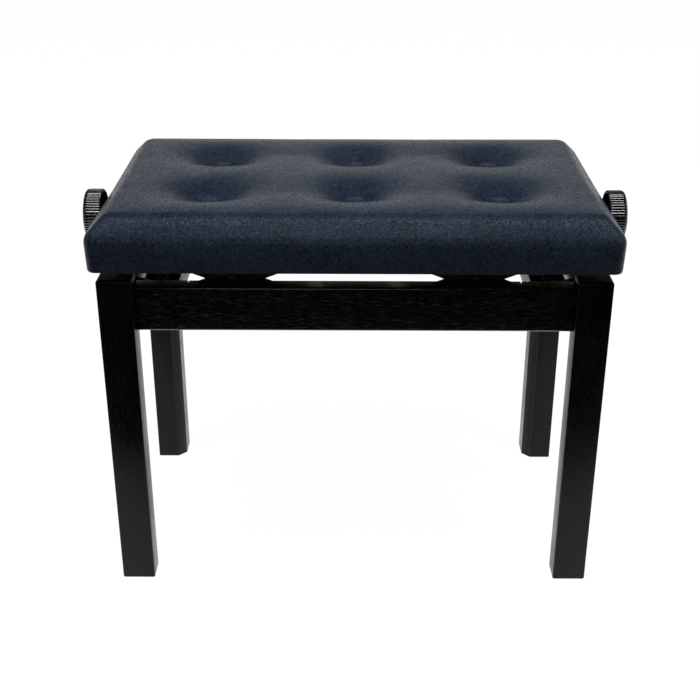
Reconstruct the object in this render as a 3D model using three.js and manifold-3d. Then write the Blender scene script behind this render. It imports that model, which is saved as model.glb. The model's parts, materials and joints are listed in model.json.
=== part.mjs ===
// An adjustable piano bench: a wooden frame on four legs, a buttoned seat, and between them a
// pair of scissor lifts, front and rear, that one cross screw opens and closes from a knob at
// either end. Millimetres, +Z up, origin on the floor under the middle of the bench, -Y in front.
// The bench stands at its lowest setting.

import * as THREE from 'three';
import { mergeVertices } from 'three/addons/utils/BufferGeometryUtils.js';
import Module from 'manifold-3d';

const wasm = await Module();
wasm.setup();

// ---------------------------------------------------------------- driving dimensions

// Clearances.
const SEAT_GAP = 0.3; // between two pieces that touch
const RUN_GAP = 0.35; // round a pin or shaft that turns

// Wooden frame.
const LEG_SPAN_X = 540; // over the legs, side to side
const LEG_SPAN_Y = 318; // over the legs, front to rear
const LEG_SIDE = 37;
const LEG_HEIGHT = 376; // floor to leg top
const LEG_CHAMFER = 10; // on the corner that faces the middle of the bench
const LEG_EDGE = 1.5; // small bevel round the two ends
const RAIL_HEIGHT = 50;
const RAIL_DROP = 11; // rail top below leg top
const RAIL_SETBACK = 10.5; // rail face behind leg face
const LONG_RAIL_THICK = 22; // front and rear
const SIDE_RAIL_THICK = 14;
const RAIL_ROUND = 2.5; // rounding of the long edges
const NOTCH_X = 177; // setting-out notches in the long rails' inner top edge
const NOTCH_WIDTH = 2;
const NOTCH_DEPTH = 3;

// Feet.
const GLIDE_RADIUS = 11;
const GLIDE_THICK = 3;
const GLIDE_SHOWS = 1.2; // stands out of the leg

// Corner brackets and their bolts.
const BRACKET_THICK = 2;
const BRACKET_HEIGHT = 19;
const BRACKET_REACH = 21; // from the rails' inner corner along each rail
const BRACKET_TAB = 14; // the part that lies flat on a side rail
const BRACKET_DROP = 0.5; // bracket top below rail top
const BOLT_RADIUS = 4;
const BOLT_DEPTH = 20; // into the leg
const BOLT_END = 4; // past the nut
const NUT_RADIUS = 7.5; // over the corners
const NUT_THICK = 6.5;

// Scissor lift.
const ARM_SPAN = 184; // between the end pivots of an arm
const ARM_WIDTH = 22;
const TIE_ALONG = 52; // from an inner arm's upper pivot to the rod that ties the two of a side
const ARM_THICK = 4;
const ARM_LAYER = 1; // between the two arms of a pair
const LIFT_LOW = 66; // lower pivots to upper pivots, at the lowest setting
const STEEPEST_DEGREES = 64.45; // of an arm, at the highest setting
const HINGE_X = 217; // the pivots that don't slide
const HINGE_DROP = 35.6; // lower pivots below rail top
const ROD_RADIUS = 4;
const ROD_HEAD_RADIUS = 6.5;
const ROD_HEAD_THICK = 2.5;
const STOP_PLAY = 0.5; // between a sliding pin and the end of its slot

// Steel angles that carry the arms.
const BASE_ANGLE_THICK = 2.8;
const BASE_ANGLE_RISE = 13.6; // above the lower pivots
const BASE_ANGLE_FLANGE = 20;
const BASE_FLOOR_PLAY = 1.4; // under the arm ends
const BASE_ARM_PLAY = 3.4; // base angle to the outer arm, room for the pivot heads
const SEAT_ANGLE_THICK = 3;
const SEAT_ANGLE_FALL = 11.4; // below the upper pivots
const SEAT_ANGLE_FLANGE = 21;
const SEAT_ARM_PLAY = 2; // seat angle to the inner arm
const FLANGE_THICK = 2;
const CHANNEL_WIDTH = 40;

// Cross screw, its nut bars, bearings and knobs.
const SCREW_RADIUS = 6;
const COLLAR_RADIUS = 8.5;
const COLLAR_WIDTH = 5;
const NUT_BAR_SIDE = 16;
const JOURNAL_RADIUS = 5;
const BEARING_X = 231; // inner face of a bearing plate
const BEARING_THICK = 3;
const BEARING_HALF_WIDTH = 18;
const BEARING_FALL = 14;
const BEARING_FLANGE = 20;
const KNOB_RADIUS = 29;
const KNOB_THICK = 20;
const KNOB_WALL = 4.5;
const KNOB_FACE = 5;
const KNOB_BEVEL = 3.5;
const KNOB_HUB_RADIUS = 11;
const KNOB_RIBS = 56;
const RIB_DEPTH = 0.9;
const KNOB_STANDOFF = 11; // seat side to knob

// Seat.
const SEAT_X = 555; // over the cover, side to side
const SEAT_Y = 334; // over the cover, front to rear
const SEAT_CORNER = 10; // corner radius seen from above
const COVER_THICK = 3.6; // cover and its padding on the sides
const COVER_TUCK = 1.5; // cover below the rim
const COVER_BULGE = 1; // each side pulls in this much at the bottom
const BOARD_PLAY = 0.6; // arm ends to board
const BOARD_THICK = 8;
const RIM_THICK = 15;
const RIM_HEIGHT = 18.2;
const EDGE_RISE = 3.5; // above the board, where the cover's side starts to round over
const CROWN_RISE = 26; // top above that edge
const CROWN_SWELL = 1; // the middle above the rest of the top
const RIDGE_ROUND = 13; // between the side and the sloping shoulder
const SHOULDER_DEGREES = 44;
const BROW_ROUND = 18; // between the shoulder and the top
const BUTTON_SPACING_X = 158;
const BUTTON_SPACING_Y = 133;
const BUTTON_COLUMNS = 3;
const BUTTON_ROWS = 2;
const BUTTON_RADIUS = 11.8;
const BUTTON_THICK = 5;
const BUTTON_LIFT = 3.2; // its foot above the bottom of the dimple
const DIMPLE_DEPTH = 17.5;
const DIMPLE_REACH_X = 45; // where the dimple has lost about two thirds of its depth
const DIMPLE_REACH_Y = 25;
const DIMPLE_POWER = 1.6; // 1 is a cusp, 2 a rounded bowl

// Facets.
const PIN_SIDES = 16; // pins, bolts and their holes
const ROUND_SIDES = 20; // arm ends, buttons and glides
const KNOB_SIDES = 40;

// ---------------------------------------------------------------- places that follow

const RAIL_TOP = LEG_HEIGHT - RAIL_DROP;
const RAIL_BOTTOM = RAIL_TOP - RAIL_HEIGHT;
const LEG_OUT_X = LEG_SPAN_X / 2;
const LEG_OUT_Y = LEG_SPAN_Y / 2;
const LEG_IN_X = LEG_OUT_X - LEG_SIDE;
const LEG_IN_Y = LEG_OUT_Y - LEG_SIDE;
const RAIL_INNER_Y = LEG_OUT_Y - RAIL_SETBACK - LONG_RAIL_THICK;
const RAIL_INNER_X = LEG_OUT_X - RAIL_SETBACK - SIDE_RAIL_THICK;

const LOWER_Z = RAIL_TOP - HINGE_DROP;
const UPPER_Z = LOWER_Z + LIFT_LOW;
const LOW_ANGLE = Math.asin(LIFT_LOW / ARM_SPAN);
const HIGH_ANGLE = THREE.MathUtils.degToRad(STEEPEST_DEGREES);
const SLIDE_LOW_X = HINGE_X - ARM_SPAN * Math.cos(LOW_ANGLE);
const SLIDE_HIGH_X = HINGE_X - ARM_SPAN * Math.cos(HIGH_ANGLE);
const CROSS_X = (HINGE_X + SLIDE_LOW_X) / 2;
const TIE_X = HINGE_X - TIE_ALONG * Math.cos(LOW_ANGLE);
const TIE_Z = UPPER_Z - TIE_ALONG * Math.sin(LOW_ANGLE);
const CROSS_Z = (LOWER_Z + UPPER_Z) / 2;

// Layers from the long rail's inner face towards the middle.
const BASE_OUT_Y = RAIL_INNER_Y - SEAT_GAP;
const BASE_IN_Y = BASE_OUT_Y - BASE_ANGLE_THICK;
const OUTER_ARM_Y = BASE_IN_Y - BASE_ARM_PLAY;
const INNER_ARM_Y = OUTER_ARM_Y - ARM_THICK - ARM_LAYER;
const SEAT_ANGLE_Y = INNER_ARM_Y - ARM_THICK - SEAT_ARM_PLAY;
const BASE_FLANGE_Z = LOWER_Z - ARM_WIDTH / 2 - BASE_FLOOR_PLAY;

const BOARD_Z = UPPER_Z + ARM_WIDTH / 2 + BOARD_PLAY;
const BOARD_TOP = BOARD_Z + BOARD_THICK;
const BOARD_HALF_X = SEAT_X / 2 - COVER_THICK;
const BOARD_HALF_Y = SEAT_Y / 2 - COVER_THICK;
const BOARD_CORNER = SEAT_CORNER - COVER_THICK;
const HUNG_Z = BOARD_Z - SEAT_GAP; // top of what hangs under the board
const RIM_Z = HUNG_Z - RIM_HEIGHT;
const COVER_Z = RIM_Z - COVER_TUCK;
const SEAT_EDGE_Z = BOARD_TOP + EDGE_RISE;
const SHAFT_NOTCH = SCREW_RADIUS + 2.5;
const KNOB_IN_X = SEAT_X / 2 + KNOB_STANDOFF;

// ---------------------------------------------------------------- finishes

function finish(color, roughness, metalness = 0) {
  return new THREE.MeshStandardMaterial({ color, roughness, metalness });
}

const DARK_WOOD = finish(0x1b1010, 0.35);
const PLYWOOD = finish(0xa98758, 0.8);
const VINYL = finish(0x171b22, 0.45);
const BLACK_STEEL = finish(0x17171a, 0.45, 0.6);
const ZINC = finish(0xb9b095, 0.35, 1);
const PLASTIC = finish(0x0c0c0e, 0.3);
const FELT = finish(0x2b2825, 0.95);

// ---------------------------------------------------------------- solids

function toSolid(geometry) {
  const bare = geometry.clone();
  bare.deleteAttribute('normal');
  bare.deleteAttribute('uv');
  const merged = mergeVertices(bare);
  return new wasm.Manifold(new wasm.Mesh({
    numProp: 3,
    vertProperties: merged.attributes.position.array,
    triVerts: new Uint32Array(merged.index.array),
  }));
}

function toGeometry(solid) {
  const mesh = solid.getMesh();
  return new THREE.BufferGeometry()
    .setAttribute('position', new THREE.BufferAttribute(mesh.vertProperties, 3))
    .setIndex(new THREE.BufferAttribute(mesh.triVerts, 1));
}

function cut(geometry, ...tools) {
  return toGeometry(tools.reduce((solid, tool) => solid.subtract(toSolid(tool)), toSolid(geometry)));
}

function join(first, ...others) {
  return toGeometry(others.reduce((solid, other) => solid.add(toSolid(other)), toSolid(first)));
}

function overlapOf(first, second) {
  return toGeometry(toSolid(first).intersect(toSolid(second)));
}

// The same shape on the other side of the bench: side and end are 1 or -1.
function mirrored(geometry, side, end) {
  const copy = (geometry.index ? geometry.toNonIndexed() : geometry.clone()).scale(side, end, 1);
  if (side * end > 0) return copy;
  const points = copy.attributes.position;
  for (let i = 0; i < points.count; i += 3) {
    const swapped = new THREE.Vector3().fromBufferAttribute(points, i + 1);
    points.setXYZ(i + 1, points.getX(i + 2), points.getY(i + 2), points.getZ(i + 2));
    points.setXYZ(i + 2, swapped.x, swapped.y, swapped.z);
  }
  return copy;
}

const AXIS_X = new THREE.Vector3(1, 0, 0);
const AXIS_Y = new THREE.Vector3(0, 1, 0);
const AXIS_Z = new THREE.Vector3(0, 0, 1);

function extruded(shape, from, to, options = {}) {
  const bevel = options.bevel ?? 0;
  return new THREE.ExtrudeGeometry(shape, {
    depth: to - from - 2 * bevel,
    curveSegments: options.curveSegments ?? 6,
    bevelEnabled: bevel > 0,
    bevelThickness: bevel,
    bevelSize: bevel,
    bevelOffset: -bevel,
    bevelSegments: options.bevelSegments ?? 1,
  }).translate(0, 0, from + bevel);
}

// The shape's own x and y become Y and Z.
function alongX(shape, from, to, options) {
  return extruded(shape, from, to, options)
    .applyMatrix4(new THREE.Matrix4().makeBasis(AXIS_Y, AXIS_Z, AXIS_X));
}

// The shape's own x and y become X and Z.
function alongY(shape, from, to, options) {
  return extruded(shape, -to, -from, options)
    .applyMatrix4(new THREE.Matrix4().makeBasis(AXIS_X, AXIS_Z, AXIS_Y.clone().negate()));
}

function alongZ(shape, from, to, options) {
  return extruded(shape, from, to, options);
}

function polygon(points) {
  return new THREE.Shape(points.map(([x, y]) => new THREE.Vector2(x, y)));
}

function rectangle(left, bottom, right, top) {
  return polygon([[left, bottom], [right, bottom], [right, top], [left, top]]);
}

function roundedRectangle(left, bottom, right, top, radius) {
  const shape = new THREE.Shape();
  shape.absarc(right - radius, top - radius, radius, 0, Math.PI / 2, false);
  shape.absarc(left + radius, top - radius, radius, Math.PI / 2, Math.PI, false);
  shape.absarc(left + radius, bottom + radius, radius, Math.PI, 1.5 * Math.PI, false);
  shape.absarc(right - radius, bottom + radius, radius, 1.5 * Math.PI, 2 * Math.PI, false);
  shape.closePath();
  return shape;
}

function regularPolygon(x, y, radius, sides) {
  const points = [];
  for (let i = 0; i < sides; i++) {
    const angle = (i / sides) * 2 * Math.PI;
    points.push([x + radius * Math.cos(angle), y + radius * Math.sin(angle)]);
  }
  return polygon(points);
}

// A round bar or hole: the hole's flats stay outside the given radius.
function roundShape(x, y, radius) {
  return regularPolygon(x, y, radius, PIN_SIDES);
}

function holeShape(x, y, radius, sides = PIN_SIDES) {
  return regularPolygon(x, y, radius / Math.cos(Math.PI / sides), sides);
}

// A slot or a flat link: a straight stretch between two points, with round ends.
function stadium(x0, y0, x1, y1, radius, sides) {
  const heading = Math.atan2(y1 - y0, x1 - x0);
  const points = [];
  const half = sides / 2;
  for (let i = 0; i <= half; i++) {
    const angle = heading + Math.PI / 2 + (i / half) * Math.PI;
    points.push([x0 + radius * Math.cos(angle), y0 + radius * Math.sin(angle)]);
  }
  for (let i = 0; i <= half; i++) {
    const angle = heading - Math.PI / 2 + (i / half) * Math.PI;
    points.push([x1 + radius * Math.cos(angle), y1 + radius * Math.sin(angle)]);
  }
  return polygon(points);
}

// A strip of even thickness that follows a bent line, to the left of it.
function bentStrip(line, thick) {
  const points = line.map(([x, y]) => new THREE.Vector2(x, y));
  const normals = points.slice(1).map((point, i) => {
    const along = point.clone().sub(points[i]).normalize();
    return new THREE.Vector2(-along.y, along.x);
  });
  const offset = points.map((point, i) => {
    const before = normals[Math.max(i - 1, 0)];
    const after = normals[Math.min(i, normals.length - 1)];
    const middle = before.clone().add(after).normalize();
    return point.clone().addScaledVector(middle, thick / middle.dot(after));
  });
  return new THREE.Shape([...points, ...offset.reverse()]);
}

// A closed solid through rings of equal point counts, with a flat fan on the first and last.
function lofted(rings) {
  const count = rings[0].length;
  const positions = [];
  rings.flat().forEach((point) => positions.push(point.x, point.y, point.z));
  const index = [];
  for (let ring = 0; ring + 1 < rings.length; ring++) {
    for (let i = 0; i < count; i++) {
      const next = (i + 1) % count;
      const a = ring * count + i;
      const b = ring * count + next;
      index.push(a, b, b + count, a, b + count, a + count);
    }
  }
  const centre = (ring) => ring.reduce((sum, point) => sum.add(point), new THREE.Vector3())
    .divideScalar(count);
  const foot = centre(rings[0]);
  const head = centre(rings.at(-1));
  const footIndex = positions.length / 3;
  positions.push(foot.x, foot.y, foot.z, head.x, head.y, head.z);
  const last = (rings.length - 1) * count;
  for (let i = 0; i < count; i++) {
    const next = (i + 1) % count;
    index.push(footIndex, next, i, footIndex + 1, last + i, last + next);
  }
  return new THREE.BufferGeometry()
    .setAttribute('position', new THREE.Float32BufferAttribute(positions, 3))
    .setIndex(index);
}

// A lathe profile of [radius, height] pairs turned about Z.
function turned(profile, sides) {
  return new THREE.LatheGeometry(profile.map(([r, z]) => new THREE.Vector2(r, z)), sides)
    .rotateX(Math.PI / 2);
}

// ---------------------------------------------------------------- assembly

const bench = new THREE.Group();
bench.name = 'piano_bench';

function add(name, geometry, material) {
  const mesh = new THREE.Mesh(geometry, material);
  mesh.name = name;
  bench.add(mesh);
  return mesh;
}

const SIDES = [['left', -1], ['right', 1]];
const ENDS = [['front', -1], ['rear', 1]];

function forEachCorner(build) {
  for (const [endName, end] of ENDS) {
    for (const [sideName, side] of SIDES) build(`${endName}_${sideName}`, side, end);
  }
}

// ---------------------------------------------------------------- legs and feet

// The line of a corner bolt runs at 45 degrees through the middle of the leg.
const BOLT_Z = RAIL_TOP - BRACKET_DROP - BRACKET_HEIGHT / 2;
const LEG_MID_X = LEG_OUT_X - LEG_SIDE / 2;
const LEG_MID_Y = LEG_OUT_Y - LEG_SIDE / 2;
// From the leg's middle to its chamfer, along the bolt.
const CHAMFER_INSET = (LEG_SIDE / 2) * Math.SQRT2 - LEG_CHAMFER / Math.SQRT2;

// Turns a bar that runs along X into the line of the corner bolt at (+X, +Y).
function onBoltLine(geometry) {
  return geometry.rotateZ(Math.PI / 4).translate(LEG_MID_X, LEG_MID_Y, BOLT_Z);
}

// The hole that lets the bolt past the leg, the rails' ends and the bracket.
function boltWay() {
  return onBoltLine(alongX(
    holeShape(0, 0, BOLT_RADIUS + SEAT_GAP), -3 * LEG_SIDE, BOLT_DEPTH - CHAMFER_INSET + SEAT_GAP,
  ));
}

function legGeometry() {
  const outline = polygon([
    [LEG_IN_X + LEG_CHAMFER, LEG_IN_Y],
    [LEG_OUT_X, LEG_IN_Y],
    [LEG_OUT_X, LEG_OUT_Y],
    [LEG_IN_X, LEG_OUT_Y],
    [LEG_IN_X, LEG_IN_Y + LEG_CHAMFER],
  ]);
  const post = alongZ(outline, GLIDE_SHOWS, LEG_HEIGHT, { bevel: LEG_EDGE });
  const pocket = alongZ(
    holeShape(LEG_MID_X, LEG_MID_Y, GLIDE_RADIUS + SEAT_GAP, ROUND_SIDES), 0, GLIDE_THICK + SEAT_GAP,
  );
  return cut(post, pocket, boltWay());
}

function glideGeometry() {
  const edge = GLIDE_SHOWS / 2;
  return turned([
    [0, 0], [GLIDE_RADIUS - edge, 0], [GLIDE_RADIUS, edge], [GLIDE_RADIUS, GLIDE_THICK], [0, GLIDE_THICK],
  ], ROUND_SIDES).translate(LEG_MID_X, LEG_MID_Y, 0);
}

forEachCorner((corner, side, end) => {
  add(`leg_${corner}`, mirrored(legGeometry(), side, end), DARK_WOOD);
  add(`foot_glide_${corner}`, mirrored(glideGeometry(), side, end), FELT);
});

// ---------------------------------------------------------------- rails

const LONG_RAIL_HALF = LEG_IN_X - SEAT_GAP;
const SIDE_RAIL_HALF = LEG_IN_Y - SEAT_GAP;

function longRailGeometry() {
  const section = roundedRectangle(
    RAIL_INNER_Y, RAIL_BOTTOM, RAIL_INNER_Y + LONG_RAIL_THICK, RAIL_TOP, RAIL_ROUND,
  );
  const rail = alongX(section, -LONG_RAIL_HALF, LONG_RAIL_HALF, { curveSegments: 3 });
  const notches = SIDES.map(([, side]) => alongY(
    polygon([
      [side * NOTCH_X - NOTCH_WIDTH / 2, RAIL_TOP + 1],
      [side * NOTCH_X + NOTCH_WIDTH / 2, RAIL_TOP + 1],
      [side * NOTCH_X, RAIL_TOP - NOTCH_DEPTH],
    ]),
    RAIL_INNER_Y - 1, RAIL_INNER_Y + LONG_RAIL_THICK / 3,
  ));
  const boltWays = SIDES.map(([, side]) => mirrored(boltWay(), side, 1));
  return cut(rail, ...notches, ...boltWays);
}

function sideRailGeometry() {
  const section = roundedRectangle(
    RAIL_INNER_X, RAIL_BOTTOM, RAIL_INNER_X + SIDE_RAIL_THICK, RAIL_TOP, RAIL_ROUND,
  );
  const rail = alongY(section, -SIDE_RAIL_HALF, SIDE_RAIL_HALF, { curveSegments: 3 });
  return cut(rail, ...ENDS.map(([, end]) => mirrored(boltWay(), 1, end)));
}

for (const [endName, end] of ENDS) {
  add(`rail_${endName}`, mirrored(longRailGeometry(), 1, end), DARK_WOOD);
}
for (const [sideName, side] of SIDES) {
  add(`rail_${sideName}`, mirrored(sideRailGeometry(), side, 1), DARK_WOOD);
}

// ---------------------------------------------------------------- corner brackets and bolts

// Outer faces of the bracket's two tabs, just clear of the rails.
const TAB_X = RAIL_INNER_X - SEAT_GAP;
const TAB_Y = RAIL_INNER_Y - SEAT_GAP;
// Where the bolt crosses the bracket's slanted web, measured from the leg's middle.
const WEB_INSET = (LEG_MID_X + LEG_MID_Y - (TAB_X + TAB_Y - BRACKET_REACH)) / Math.SQRT2;

function bracketGeometry() {
  const bend = BRACKET_THICK;
  const strip = bentStrip([
    [TAB_X - BRACKET_REACH - BRACKET_TAB / 3, TAB_Y],
    [TAB_X - BRACKET_REACH, TAB_Y],
    [TAB_X, TAB_Y - BRACKET_REACH],
    [TAB_X, TAB_Y - BRACKET_REACH - BRACKET_TAB],
  ], -bend);
  const low = BOLT_Z - BRACKET_HEIGHT / 2;
  return cut(alongZ(strip, low, low + BRACKET_HEIGHT), boltWay());
}

// The hanger bolt in the leg, with the nut that pulls the leg into the corner.
function cornerBoltGeometry() {
  const nutFace = -WEB_INSET - BRACKET_THICK - SEAT_GAP;
  const nutEnd = nutFace - NUT_THICK;
  const shank = alongX(roundShape(0, 0, BOLT_RADIUS), nutEnd - BOLT_END, BOLT_DEPTH - CHAMFER_INSET);
  const nut = alongX(regularPolygon(0, 0, NUT_RADIUS, 6), nutEnd, nutFace);
  return onBoltLine(join(shank, nut));
}

forEachCorner((corner, side, end) => {
  add(`corner_bracket_${corner}`, mirrored(bracketGeometry(), side, end), BLACK_STEEL);
  add(`corner_bolt_${corner}`, mirrored(cornerBoltGeometry(), side, end), BLACK_STEEL);
});

// ---------------------------------------------------------------- base angles and channels

const BASE_HALF = HINGE_X + ARM_WIDTH / 2;

// The slot in which a sliding pin of an arm runs from the lowest setting to the highest.
function slotShape(side, z, radius) {
  const lowX = side * (SLIDE_LOW_X - STOP_PLAY);
  const highX = side * (SLIDE_HIGH_X + STOP_PLAY);
  return stadium(lowX, z, highX, z, radius / Math.cos(Math.PI / PIN_SIDES), PIN_SIDES);
}

function baseAngleGeometry() {
  const section = bentStrip([
    [BASE_OUT_Y - BASE_ANGLE_FLANGE, BASE_FLANGE_Z - FLANGE_THICK],
    [BASE_OUT_Y, BASE_FLANGE_Z - FLANGE_THICK],
    [BASE_OUT_Y, LOWER_Z + BASE_ANGLE_RISE],
  ], BASE_ANGLE_THICK);
  const cutters = SIDES.flatMap(([, side]) => [
    alongY(
      slotShape(side, LOWER_Z, ROD_RADIUS + RUN_GAP),
      BASE_IN_Y - 1, BASE_OUT_Y + 1,
    ),
    alongY(holeShape(side * HINGE_X, LOWER_Z, ROD_RADIUS + SEAT_GAP), BASE_IN_Y - 1, BASE_OUT_Y + 1),
  ]);
  const trimmed = cut(
    alongX(section, -BASE_HALF, BASE_HALF),
    alongX(
      rectangle(
        BASE_OUT_Y - 2 * BASE_ANGLE_FLANGE, BASE_FLANGE_Z,
        BASE_IN_Y, LOWER_Z + BASE_ANGLE_RISE,
      ),
      -BASE_HALF - 1, BASE_HALF + 1,
    ),
  );
  return cut(trimmed, ...cutters);
}

// An upright-sided channel across the frame, under each pair of fixed lower pivots.
function crossChannelGeometry() {
  const half = BASE_OUT_Y - BASE_ANGLE_FLANGE - SEAT_GAP;
  const low = BASE_FLANGE_Z - FLANGE_THICK;
  const high = LOWER_Z + ARM_WIDTH / 2;
  const left = HINGE_X - CHANNEL_WIDTH / 2;
  const right = HINGE_X + CHANNEL_WIDTH / 2;
  const section = polygon([
    [left, high], [left, low], [right, low], [right, high],
    [right - FLANGE_THICK, high], [right - FLANGE_THICK, low + FLANGE_THICK],
    [left + FLANGE_THICK, low + FLANGE_THICK], [left + FLANGE_THICK, high],
  ]);
  return alongY(section, -half, half);
}

function rodGeometry(x, z, radius, half) {
  return alongY(roundShape(x, z, radius), -half, half);
}

for (const [endName, end] of ENDS) {
  add(`base_angle_${endName}`, mirrored(baseAngleGeometry(), 1, end), BLACK_STEEL);
}
for (const [sideName, side] of SIDES) {
  add(`cross_channel_${sideName}`, mirrored(crossChannelGeometry(), side, 1), BLACK_STEEL);
  add(`hinge_rod_${sideName}`, rodGeometry(side * HINGE_X, LOWER_Z, ROD_RADIUS, BASE_OUT_Y), ZINC);
}

// ---------------------------------------------------------------- scissor arms and their rods

function armGeometry(outerEnd, innerEnd, lastHole, outFace) {
  const shape = stadium(HINGE_X, outerEnd, SLIDE_LOW_X, innerEnd, ARM_WIDTH / 2, ROUND_SIDES);
  shape.holes.push(
    holeShape(HINGE_X, outerEnd, ROD_RADIUS + RUN_GAP),
    holeShape(CROSS_X, CROSS_Z, ROD_RADIUS + RUN_GAP),
    lastHole,
  );
  return alongY(shape, outFace - ARM_THICK, outFace);
}

function outerArmGeometry() {
  const journalHole = holeShape(SLIDE_LOW_X, UPPER_Z, JOURNAL_RADIUS + RUN_GAP);
  return armGeometry(LOWER_Z, UPPER_Z, journalHole, OUTER_ARM_Y);
}

// The inner arm's lower end carries the stud that slides in the base angle.
function innerArmGeometry() {
  const tieHole = holeShape(TIE_X, TIE_Z, ROD_RADIUS + SEAT_GAP);
  const arm = armGeometry(UPPER_Z, LOWER_Z, tieHole, INNER_ARM_Y);
  const studShape = roundShape(SLIDE_LOW_X, LOWER_Z, ROD_RADIUS);
  return join(arm, alongY(studShape, INNER_ARM_Y - ARM_THICK, BASE_OUT_Y));
}

function pivotRodGeometry() {
  const headOut = OUTER_ARM_Y + SEAT_GAP + ROD_HEAD_THICK;
  const rod = rodGeometry(CROSS_X, CROSS_Z, ROD_RADIUS, headOut);
  const heads = ENDS.map(([, end]) => mirrored(
    alongY(regularPolygon(CROSS_X, CROSS_Z, ROD_HEAD_RADIUS, 6), OUTER_ARM_Y + SEAT_GAP, headOut),
    1, end,
  ));
  return join(rod, ...heads);
}

forEachCorner((corner, side, end) => {
  add(`outer_arm_${corner}`, mirrored(outerArmGeometry(), side, end), BLACK_STEEL);
  add(`inner_arm_${corner}`, mirrored(innerArmGeometry(), side, end), BLACK_STEEL);
});
for (const [sideName, side] of SIDES) {
  add(`pivot_rod_${sideName}`, mirrored(pivotRodGeometry(), side, 1), ZINC);
  add(`tie_rod_${sideName}`, rodGeometry(side * TIE_X, TIE_Z, ROD_RADIUS, INNER_ARM_Y), ZINC);
}

// ---------------------------------------------------------------- seat angles and bearing plates

// The angle under the board that the arms push up: two fixed studs for the inner arms, and two
// slots in which the ends of the nut bars slide.
function seatAngleGeometry() {
  const low = UPPER_Z - SEAT_ANGLE_FALL;
  const inner = SEAT_ANGLE_Y - SEAT_ANGLE_THICK;
  const section = polygon([
    [inner, low], [SEAT_ANGLE_Y, low], [SEAT_ANGLE_Y, HUNG_Z],
    [SEAT_ANGLE_Y - SEAT_ANGLE_FLANGE, HUNG_Z],
    [SEAT_ANGLE_Y - SEAT_ANGLE_FLANGE, HUNG_Z - FLANGE_THICK], [inner, HUNG_Z - FLANGE_THICK],
  ]);
  const slots = SIDES.map(([, side]) => alongY(
    slotShape(side, UPPER_Z, JOURNAL_RADIUS + RUN_GAP),
    inner - 1, SEAT_ANGLE_Y + 1,
  ));
  const studEnd = INNER_ARM_Y + RUN_GAP;
  const studs = SIDES.flatMap(([, side]) => [
    alongY(roundShape(side * HINGE_X, UPPER_Z, ROD_RADIUS), inner, studEnd + 0.1),
    alongY(roundShape(side * HINGE_X, UPPER_Z, ROD_HEAD_RADIUS), studEnd, studEnd + ROD_HEAD_THICK),
  ]);
  return join(cut(alongX(section, -BASE_HALF, BASE_HALF), ...slots), ...studs);
}

function bearingPlateGeometry() {
  const section = polygon([
    [BEARING_X, UPPER_Z - BEARING_FALL], [BEARING_X + BEARING_THICK, UPPER_Z - BEARING_FALL],
    [BEARING_X + BEARING_THICK, HUNG_Z], [BEARING_X - BEARING_FLANGE, HUNG_Z],
    [BEARING_X - BEARING_FLANGE, HUNG_Z - FLANGE_THICK], [BEARING_X, HUNG_Z - FLANGE_THICK],
  ]);
  const hole = alongX(
    holeShape(0, UPPER_Z, SCREW_RADIUS + RUN_GAP), BEARING_X - 1, BEARING_X + BEARING_THICK + 1,
  );
  return cut(alongY(section, -BEARING_HALF_WIDTH, BEARING_HALF_WIDTH), hole);
}

for (const [endName, end] of ENDS) {
  add(`seat_angle_${endName}`, mirrored(seatAngleGeometry(), 1, end), BLACK_STEEL);
}
for (const [sideName, side] of SIDES) {
  add(`bearing_plate_${sideName}`, mirrored(bearingPlateGeometry(), side, 1), BLACK_STEEL);
}

// ---------------------------------------------------------------- cross screw and nut bars

const SHAFT_END_X = KNOB_IN_X + KNOB_THICK - KNOB_FACE - SEAT_GAP;

function screwShaftGeometry() {
  const shaft = alongX(roundShape(0, UPPER_Z, SCREW_RADIUS), -SHAFT_END_X, SHAFT_END_X);
  const collarOut = BEARING_X - RUN_GAP;
  const collars = SIDES.map(([, side]) => mirrored(
    alongX(roundShape(0, UPPER_Z, COLLAR_RADIUS), collarOut - COLLAR_WIDTH, collarOut), side, 1,
  ));
  return join(shaft, ...collars);
}

// A square bar across the bench, threaded on the screw, whose turned ends carry the outer arms.
function nutBarGeometry() {
  const squareHalf = SEAT_ANGLE_Y - SEAT_ANGLE_THICK - SEAT_ARM_PLAY / 2;
  const half = NUT_BAR_SIDE / 2;
  const square = alongY(
    rectangle(SLIDE_LOW_X - half, UPPER_Z - half, SLIDE_LOW_X + half, UPPER_Z + half),
    -squareHalf, squareHalf,
  );
  const journals = rodGeometry(SLIDE_LOW_X, UPPER_Z, JOURNAL_RADIUS, OUTER_ARM_Y + 1);
  const thread = alongX(
    holeShape(0, UPPER_Z, SCREW_RADIUS + RUN_GAP), SLIDE_LOW_X - half - 1, SLIDE_LOW_X + half + 1,
  );
  return cut(join(square, journals), thread);
}

add('screw_shaft', screwShaftGeometry(), ZINC);
for (const [sideName, side] of SIDES) {
  add(`nut_bar_${sideName}`, mirrored(nutBarGeometry(), side, 1), ZINC);
}

// ---------------------------------------------------------------- knobs

// The rim's outline: a groove and the two edges of a rib, all the way round.
function ribbedOutline() {
  const points = [];
  const steps = KNOB_RIBS * 3;
  for (let i = 0; i < steps; i++) {
    const angle = (i / steps) * 2 * Math.PI;
    const radius = i % 3 === 0 ? KNOB_RADIUS - RIB_DEPTH : KNOB_RADIUS;
    points.push([radius * Math.cos(angle), UPPER_Z + radius * Math.sin(angle)]);
  }
  return polygon(points);
}

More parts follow.
